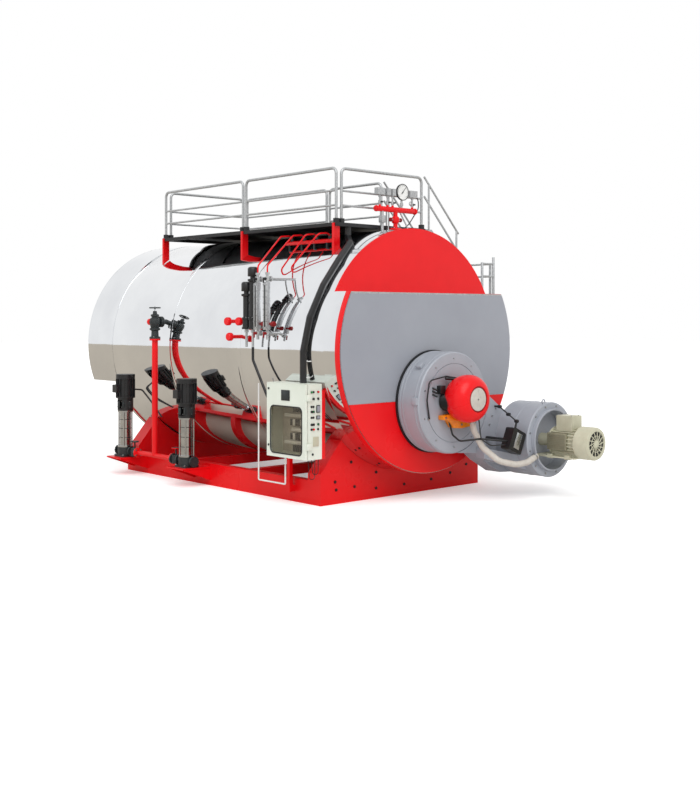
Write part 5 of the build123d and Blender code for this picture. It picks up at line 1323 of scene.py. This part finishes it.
@dataclass
class FeedLine:
    """The feed pipe, its stop valve with the handwheel, and the pumps' bright parts.

    Attributes:
        x: Where the pumps and the riser stand.
        riser_y: The riser's place along Y.
        pumps: The pumps' places along Y.
        port: Height of the pumps' ports.
        valve: Height of the valve's foot.
        inlet: Height of its branch into the drum.
        wheel: Height of the handwheel.
    """

    x: float = -1.285
    riser_y: float = 2.3775
    pumps: tuple[float, float] = (1.780, 2.975)
    port: float = 0.256
    valve: float = 1.500
    inlet: float = 1.680
    wheel: float = 1.830

    def pipe(self) -> None:
        """Build the line between the pumps and the riser, with bolted flanges."""
        x, y, z = self.x, self.riser_y, self.port
        low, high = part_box("feed_pipe")
        with piece("feed_pipe_run", RED_ENAMEL, stands_for=("feed_pipe",)) as bm:
            add_rod(bm, (x, low.y, z), (x, high.y, z), 0.025, 32)
            add_rod(bm, (x, low.y, z), (x, low.y + 0.018, z), 0.055, 40, edge=0.002)
            add_rod(bm, (x, high.y - 0.018, z), (x, high.y, z), 0.055, 40, edge=0.002)
            add_rod(bm, (x, y, z), (x, y, self.valve), 0.032, 32)
            add_rod(bm, (x, y, self.valve - 0.018), (x, y, self.valve), 0.058, 40, edge=0.002)
        with piece("feed_pipe_bolts", PLATED_STEEL) as bm:
            add_bolts(bm, (x, low.y + 0.018, z), (0, 1, 0), 0.040, 4, 0.008)
            add_bolts(bm, (x, high.y - 0.018, z), (0, -1, 0), 0.040, 4, 0.008)
            add_bolts(bm, (x, y, self.valve + 0.018), (0, 0, 1), 0.049, 4, 0.007)
            add_rod(bm, (x, y, 1.74), (x, y, self.wheel + 0.016), 0.008, 16, edge=0.002)

    def stop_valve(self) -> None:
        """Build the valve's cast body with its branch."""
        x, y = self.x, self.riser_y
        profile = [
            (0.0, 0.0), (0.058, 0.0), (0.058, 0.018), (0.040, 0.024), (0.037, 0.085), (0.056, 0.095),
            (0.056, 0.110), (0.044, 0.116), (0.052, 0.146), (0.058, 0.180), (0.052, 0.214), (0.036, 0.226),
            (0.036, 0.236),
            (0.044, 0.240), (0.044, 0.258), (0.024, 0.264), (0.020, 0.296), (0.0, 0.296),
        ]
        with piece("feed_valve_body", CAST_IRON, stands_for=("feed_valve",)) as bm:
            add_turned(bm, (x, y, self.valve), (0, 0, 1), profile, 48)
            add_rod(bm, (x, y, self.inlet), (0.01 - drum_side(self.inlet), y, self.inlet), 0.026, 32)
            for start in (0.052, 0.072):
                near, far = (x + start, y, self.inlet), (x + start + 0.018, y, self.inlet)
                add_rod(bm, near, far, 0.058, 40, edge=0.002)
            add_rod(bm, (x, y, self.inlet), (x, y + 0.068, self.inlet), 0.026, 32)

    def handwheel(self) -> None:
        """Build the handwheel: a round rim on four spokes and a hub with a bore."""
        x, y, z = self.x, self.riser_y, self.wheel
        with piece("handwheel_rim", CAST_IRON, WHEEL_BODY, ("feed_handwheel",)) as bm:
            add_ring(bm, (x, y, z), (0, 0, 1), 0.055, 0.007, 56, 14)
            hub = [(0.010, -0.007), (0.018, -0.007), (0.018, 0.007), (0.010, 0.007), (0.010, -0.007)]
            add_turned(bm, (x, y, z), (0, 0, 1), hub, 32)
            for dx, dy in ((1, 0), (-1, 0), (0, 1), (0, -1)):
                start, end = ((x + dx * reach, y + dy * reach, z) for reach in (0.015, 0.052))
                add_rod(bm, start, end, 0.005, 12)

    def pump_trim(self) -> None:
        """Build the pumps' coupling guards, bands and bolts, one motor's lead and the red hand ring."""
        x = self.x
        with piece("coupling_guards", CAST_IRON) as bm:
            for y in self.pumps:
                add_box(bm, (x - 0.070, y - 0.070, 0.735), (x - 0.045, y - 0.045, 0.805), 0.003)
                add_box(bm, (x - 0.0885, y - 0.022, 0.733), (x - 0.084, y + 0.022, 0.805), 0.002)
                add_box(bm, (x - 0.022, y - 0.0885, 0.733), (x + 0.022, y - 0.084, 0.805), 0.002)
                for z in (0.400, 0.500, 0.600):
                    add_rod(bm, (x, y, z), (x, y, z + 0.006), 0.0615, 48)
        with piece("pump_bolts", PLATED_STEEL) as bm:
            for y in self.pumps:
                for z in (0.74, 0.80):
                    add_bolts(bm, (x, y, z), (0, 0, 1), 0.0885, 6, 0.004)
                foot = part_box("pump_bases")[0].z + 0.018
                for dx in (-0.078, 0.078):
                    for dy in (-0.078, 0.078):
                        add_bolt(bm, (x + dx, y + dy, foot), (0, 0, 1), 0.008)
        with piece("motor_lead", BLACK_ABS) as bm:
            y = self.pumps[1]
            add_tube(bm, [(x + 0.09, y, 0.93), (x + 0.20, y - 0.02, 0.92), (x + 0.26, y - 0.10, 0.80),
                          (x + 0.33, y - 0.22, 0.62)], 0.009, 0.04, sides=12)
        with piece("pump_handles", RED_ENAMEL) as bm:
            y = self.pumps[0] + 0.195
            add_ring(bm, (x, y, 0.370), (0, 0, 1), 0.042, 0.006, 40, 10)
            add_box(bm, (x - 0.042, y - 0.006, 0.367), (x + 0.042, y + 0.006, 0.373), 0.001)

    def build(self) -> None:
        """Build the feed line's pieces."""
        self.pipe()
        self.stop_valve()
        self.handwheel()
        self.pump_trim()


@dataclass
class Cabinet:
    """The control cabinet's door furniture, side panel, gear and cables.

    Attributes:
        corner: Radius of the window's corners.
        bead: Radius of the window's rubber bead.
        lamps: Heights of the rows of lamps and switches on the side.
        rails: Height and reach of each cable rail inside.
        module: Width of one switchgear module.
        first_module: From the gear's near end to the first module.
    """

    corner: float = 0.045
    bead: float = 0.006
    lamps: tuple[float, ...] = (1.059, 0.998, 0.927, 0.883, 0.830, 0.768, 0.724)
    rails: tuple[tuple[float, float], ...] = ((0.828, 0.400), (0.700, 0.300), (0.580, 0.400))
    module: float = 0.036
    first_module: float = 0.110

    def door(self) -> None:
        """Build the window's bead, the meter and the locks on the door."""
        low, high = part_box("cabinet_window")
        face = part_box("cabinet_door")[0].x
        middle_y = (low.y + high.y) / 2
        route = [
            (face, middle_y, low.z), (face, high.y, low.z), (face, high.y, high.z), (face, low.y, high.z),
            (face, low.y, low.z), (face, middle_y - 0.0003, low.z),
        ]
        with piece("window_bead", BLACK_ABS, DOOR_BODY) as bm:
            add_tube(bm, route, self.bead, self.corner, sides=12)
            add_box(bm, (face - 0.006, 0.033, 0.971), (face, 0.155, 1.068), 0.003)
        with piece("meter_face", CAST_IRON, DOOR_BODY) as bm:
            add_box(bm, (face - 0.0075, 0.044, 0.983), (face - 0.005, 0.144, 1.056), 0.001)
        with piece("door_locks", CAST_IRON, DOOR_BODY) as bm:
            for z in (1.073, 0.552):
                add_rod(bm, (face, 0.341, z), (face - 0.006, 0.341, z), 0.011, 24, edge=0.002)
                add_rod(bm, (face, 0.341, z), (face - 0.008, 0.341, z), 0.004, 3)
        with piece("door_fold", CABINET_COAT, DOOR_BODY) as bm:
            for first, last in (((-0.185, 0.455), (0.365, 0.455)), ((-0.185, 1.125), (0.365, 1.125)),
                                ((-0.185, 0.455), (-0.185, 1.125)), ((0.365, 0.455), (0.365, 1.125))):
                add_rod(bm, (face + 0.001, *first), (face + 0.001, *last), 0.0035, 12)

    def side(self) -> None:
        """Build the lamps, switches, panes, vent and lock on the burner's side, and the hinge leaves."""
        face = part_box("cabinet_box")[0].y
        with piece("side_switches", BLACK_ABS) as bm:
            for row, z in enumerate(self.lamps):
                for x in (-1.285, -1.262, -1.208) if row not in (2, 3, 4) else (-1.285, -1.262):
                    add_rod(bm, (x, face, z), (x, face - 0.008, z), 0.0105, 24, edge=0.002)
                    if row % 2:
                        corners = (x - 0.004, face - 0.018, z - 0.011), (x + 0.004, face - 0.006, z + 0.011)
                        add_box(bm, *corners, 0.001)
            add_box(bm, (-1.228, face - 0.010, 0.872), (-1.186, face, 0.940), 0.002)
            add_box(bm, (-1.228, face - 0.010, 0.812), (-1.186, face, 0.846), 0.002)
        with piece("side_panes", DOOR_PAINT) as bm:
            add_box(bm, (-1.224, face - 0.012, 0.880), (-1.190, face - 0.009, 0.934), 0.001)
            add_box(bm, (-1.224, face - 0.012, 0.818), (-1.190, face - 0.009, 0.841), 0.001)
        with piece("side_vent", MOTOR_ENAMEL) as bm:
            add_box(bm, (-1.266, face - 0.006, 0.570), (-1.200, face, 0.656), 0.002)
        with piece("side_lamps", GREEN_LENS) as bm:
            for x, row in ((-1.285, 0), (-1.262, 3), (-1.208, 5)):
                z = self.lamps[row]
                add_rod(bm, (x, face, z), (x, face - 0.014, z), 0.009, 24, edge=0.003)
        with piece("side_red_buttons", RED_ENAMEL) as bm:
            for x, row in ((-1.208, 0), (-1.262, 6)):
                z = self.lamps[row]
                add_rod(bm, (x, face, z), (x, face - 0.014, z), 0.010, 24, edge=0.003)
        with piece("side_lock", CAST_IRON) as bm:
            add_rod(bm, (-1.270, face, 0.500), (-1.270, face - 0.006, 0.500), 0.011, 24, edge=0.002)
        with piece("cabinet_hinge_leaves", CABINET_COAT, stands_for=("cabinet_hinges",)) as bm:
            hinge_low, hinge_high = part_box("cabinet_hinges")
            for z in (hinge_low.z, hinge_high.z - 0.06):
                add_box(bm, (hinge_low.x, hinge_low.y, z), (hinge_high.x, hinge_high.y, z + 0.06), 0.002)

    def inside(self) -> None:
        """Build the back plate, the pale cable rails and the rows of switchgear."""
        low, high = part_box("cabinet_gear")
        with piece("gear_plate", PALE_SLEEVE, stands_for=("cabinet_gear",)) as bm:
            add_box(bm, (high.x - 0.025, low.y, low.z), high, 0.001)
        with piece("gear_rails", WHITE_PVC) as bm:
            for z, reach in self.rails:
                corners = (low.x - 0.006, low.y, z - 0.016), (high.x - 0.020, low.y + reach, z + 0.016)
                add_box(bm, *corners, 0.002)
            for z in (0.765, 0.635):
                for slot in (1, 4):
                    y = low.y + self.first_module + slot * self.module
                    end = y + self.module - 0.004
                    add_box(bm, (low.x, y, z - 0.030), (high.x - 0.020, end, z + 0.030), 0.002)
        with piece("gear_modules", BLACK_ABS) as bm:
            for z in (0.890, 0.765, 0.635, 0.525):
                for slot in (0, 2, 3, 5) if z in (0.765, 0.635) else (0, 1, 3, 4):
                    y = low.y + self.first_module + slot * self.module
                    end = y + self.module - 0.004
                    add_box(bm, (low.x, y, z - 0.030), (high.x - 0.020, end, z + 0.030), 0.002)

    def cables(self) -> None:
        """Build the loops under the cabinet, the conduit and the ties round the cable strap."""
        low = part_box("cabinet_box")[0]
        with piece("cable_loops", BLACK_ABS) as bm:
            for index, depth in enumerate((0.27, 0.31)):
                x = -1.29 + index * 0.04
                top = low.z + 0.002
                loop = [
                    (x, -0.15, top), (x + 0.01, -0.16, depth), (x + 0.08, -0.15, depth), (x + 0.09, -0.14, top),
                ]
                add_tube(bm, loop, 0.003, 0.030, sides=10)
            for y in (-0.03, 0.0):
                add_rod(bm, (-1.079, y, 0.62), (-1.079, y, 1.060), 0.007, 12)
        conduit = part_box("cabinet_conduit")
        x = (conduit[0].x + conduit[1].x) / 2
        route = [(x, 0.632, 1.104), (x, 0.632, 0.185), (x, 0.230, 0.185), (x, 0.230, low.z)]
        with piece("white_conduit", WHITE_PVC, stands_for=("cabinet_conduit",)) as bm:
            add_tube(bm, route, 0.0075, 0.012, sides=16)
            for z in (0.92, 0.55):
                add_rod(bm, (x, 0.632, z), (x, 0.632, z + 0.016), 0.0095, 16, edge=0.002)
        with piece("cable_ties", WHITE_PVC) as bm:
            for centre, along in (
                ((-0.887, -0.048, 2.188), (-0.55, -0.25, -0.78)), ((-1.166, -0.020, 1.330), (0, 0.1, -1)),
                ((-1.180, 0.0, 1.180), (0, 0, -1)),
            ):
                add_ring(bm, centre, along, 0.033, 0.004, 32, 8)

    def build(self) -> None:
        """Build the cabinet's pieces."""
        self.door()
        self.side()
        self.inside()
        self.cables()


@dataclass
class Skid:
    """Bolts on the saddles.

    Attributes:
        places: X and height of the bolts in the front saddle's plate.
    """

    places: tuple[tuple[float, float], ...] = (
        (-0.711, 0.374), (-0.912, 0.207), (-0.899, 0.132), (-0.667, 0.140), (-0.387, 0.250), (-0.387, 0.097),
        (-0.007, 0.244), (-0.007, 0.097), (0.377, 0.108), (0.659, 0.147), (0.903, 0.212),
    )

    def build(self) -> None:
        """Build the bolt heads."""
        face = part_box("front_saddle")[0].y
        with piece("saddle_bolts", BLACK_PAINT) as bm:
            for x, z in self.places:
                add_bolt(bm, (x, face, z), (0, -1, 0), 0.011)


# ---------------------------------------------------------------- studio


@dataclass
class Studio:
    """The camera, the pale floor and the soft light.

    Attributes:
        eye: Where the camera stands.
        heading: The camera's turn from +Y towards +X, in degrees.
        focal_pixels: The focal length in pixels of the photograph.
        long_side: The photograph's long side in pixels.
        principal: The optical axis' place in the photograph, in pixels.
        middle: The photograph's middle, in pixels.
        sensor: The sensor's long side in millimetres.
        floor_reach: Half the floor's side.
        floor_lift: How much whiter the floor looks to the camera.
        sun_turn: The soft sun's direction as Euler angles in degrees.
    """

    eye: tuple[float, float, float] = (-7.7412, -7.7531, 1.7363)
    heading: float = 42.2295
    focal_pixels: float = 1110.31
    long_side: float = 800.0
    principal: tuple[float, float] = (345.12, 316.58)
    middle: tuple[float, float] = (350.0, 400.0)
    sensor: float = 36.0
    floor_reach: float = 60.0
    floor_lift: float = 0.3
    sun_turn: tuple[float, float, float] = (38.0, -14.0, -20.0)

    def camera(self) -> None:
        """Set up the camera as the photograph was taken."""
        data = bpy.data.cameras.new("camera")
        data.sensor_width = self.sensor
        data.lens = self.focal_pixels / self.long_side * self.sensor
        data.shift_x = (self.middle[0] - self.principal[0]) / self.long_side
        data.shift_y = (self.principal[1] - self.middle[1]) / self.long_side
        camera = bpy.data.objects.new("camera", data)
        camera.location = self.eye
        camera.rotation_euler = (math.pi / 2, 0, -math.radians(self.heading))
        bpy.context.scene.collection.objects.link(camera)
        bpy.context.scene.camera = camera

    def floor(self) -> None:
        """Lay the pale floor, white to the eye and sandy in the polished sheet."""
        bm = bmesh.new()
        bmesh.ops.create_grid(bm, x_segments=1, y_segments=1, size=self.floor_reach)
        mesh = bpy.data.meshes.new("floor")
        bm.to_mesh(mesh)
        bm.free()
        material = bpy.data.materials.new("pale_floor")
        material.use_nodes = True
        tree = material.node_tree
        tree.nodes.clear()
        path = add_node(tree, "ShaderNodeLightPath")
        colour = add_node(
            tree, "ShaderNodeMix",
            {
                Paintbox.MIX_FACTOR: path.outputs["Is Glossy Ray"],
                Paintbox.MIX_A: linear("#FBFBFB"), Paintbox.MIX_B: linear("#C4BBAD"),
            },
            data_type="RGBA",
        ).outputs[Paintbox.MIX_OUT]
        shader = add_node(tree, "ShaderNodeBsdfDiffuse", {"Color": colour})
        lift = add_node(
            tree, "ShaderNodeMath", {0: path.outputs["Is Camera Ray"], 1: self.floor_lift},
            operation="MULTIPLY",
        )
        glow = add_node(tree, "ShaderNodeEmission", {"Strength": lift.outputs[0]})
        both = add_node(tree, "ShaderNodeAddShader", {0: shader.outputs["BSDF"], 1: glow.outputs["Emission"]})
        add_node(tree, "ShaderNodeOutputMaterial", {"Surface": both.outputs["Shader"]})
        mesh.materials.append(material)
        floor = bpy.data.objects.new("floor", mesh)
        bpy.context.scene.collection.objects.link(floor)

    def light(self) -> None:
        """Light the scene with a white room and one very soft sun."""
        world = bpy.data.worlds.new("white_room")
        world.use_nodes = True
        tree = world.node_tree
        tree.nodes.clear()
        path = add_node(tree, "ShaderNodeLightPath")
        seen = add_node(
            tree, "ShaderNodeMath",
            {0: path.outputs["Is Camera Ray"], 1: path.outputs["Is Glossy Ray"]}, operation="MAXIMUM",
        )
        seen = add_node(
            tree, "ShaderNodeMath",
            {0: seen.outputs[0], 1: path.outputs["Is Transmission Ray"]}, operation="MAXIMUM",
        )
        strength = add_node(
            tree, "ShaderNodeMapRange", {"Value": seen.outputs[0], "To Min": 0.70, "To Max": 1.0}
        )
        shader = add_node(
            tree, "ShaderNodeBackground", {"Color": (1, 1, 1, 1), "Strength": strength.outputs["Result"]}
        )
        add_node(tree, "ShaderNodeOutputWorld", {"Surface": shader.outputs["Background"]})
        bpy.context.scene.world = world
        data = bpy.data.lights.new("soft_sun", "SUN")
        data.energy = 1.5
        data.angle = math.radians(50)
        sun = bpy.data.objects.new("soft_sun", data)
        sun.rotation_euler = [math.radians(a) for a in self.sun_turn]
        bpy.context.scene.collection.objects.link(sun)

    def build(self) -> None:
        """Set up the whole studio."""
        bpy.context.scene.view_settings.view_transform = "Standard"
        self.camera()
        self.floor()
        self.light()


def dress_nodes() -> None:
    """Give every CAD node the finish of its material slot."""
    for part in frame["record"]["subparts"]:
        node = frame["nodes"][part["node"]]
        node.data.materials.clear()
        node.data.materials.append(PAINTS.get(SLOT_FINISHES[part["material_slot"]]))


def main() -> None:
    """Build the studio and every sub-assembly in order."""
    logging.basicConfig(level=logging.INFO, format="%(name)s %(message)s")
    Studio().build()
    dress_nodes()
    assemblies = (
        Cladding(), FrontEnd(), Guards(), Burner(), Fan(),
        SteamHeader(), LevelGear(), FeedLine(), Cabinet(), Skid(),
    )
    for assembly in assemblies:
        LOG.info("building %s", type(assembly).__name__)
        assembly.build()


if __name__ == "__main__":
    main()
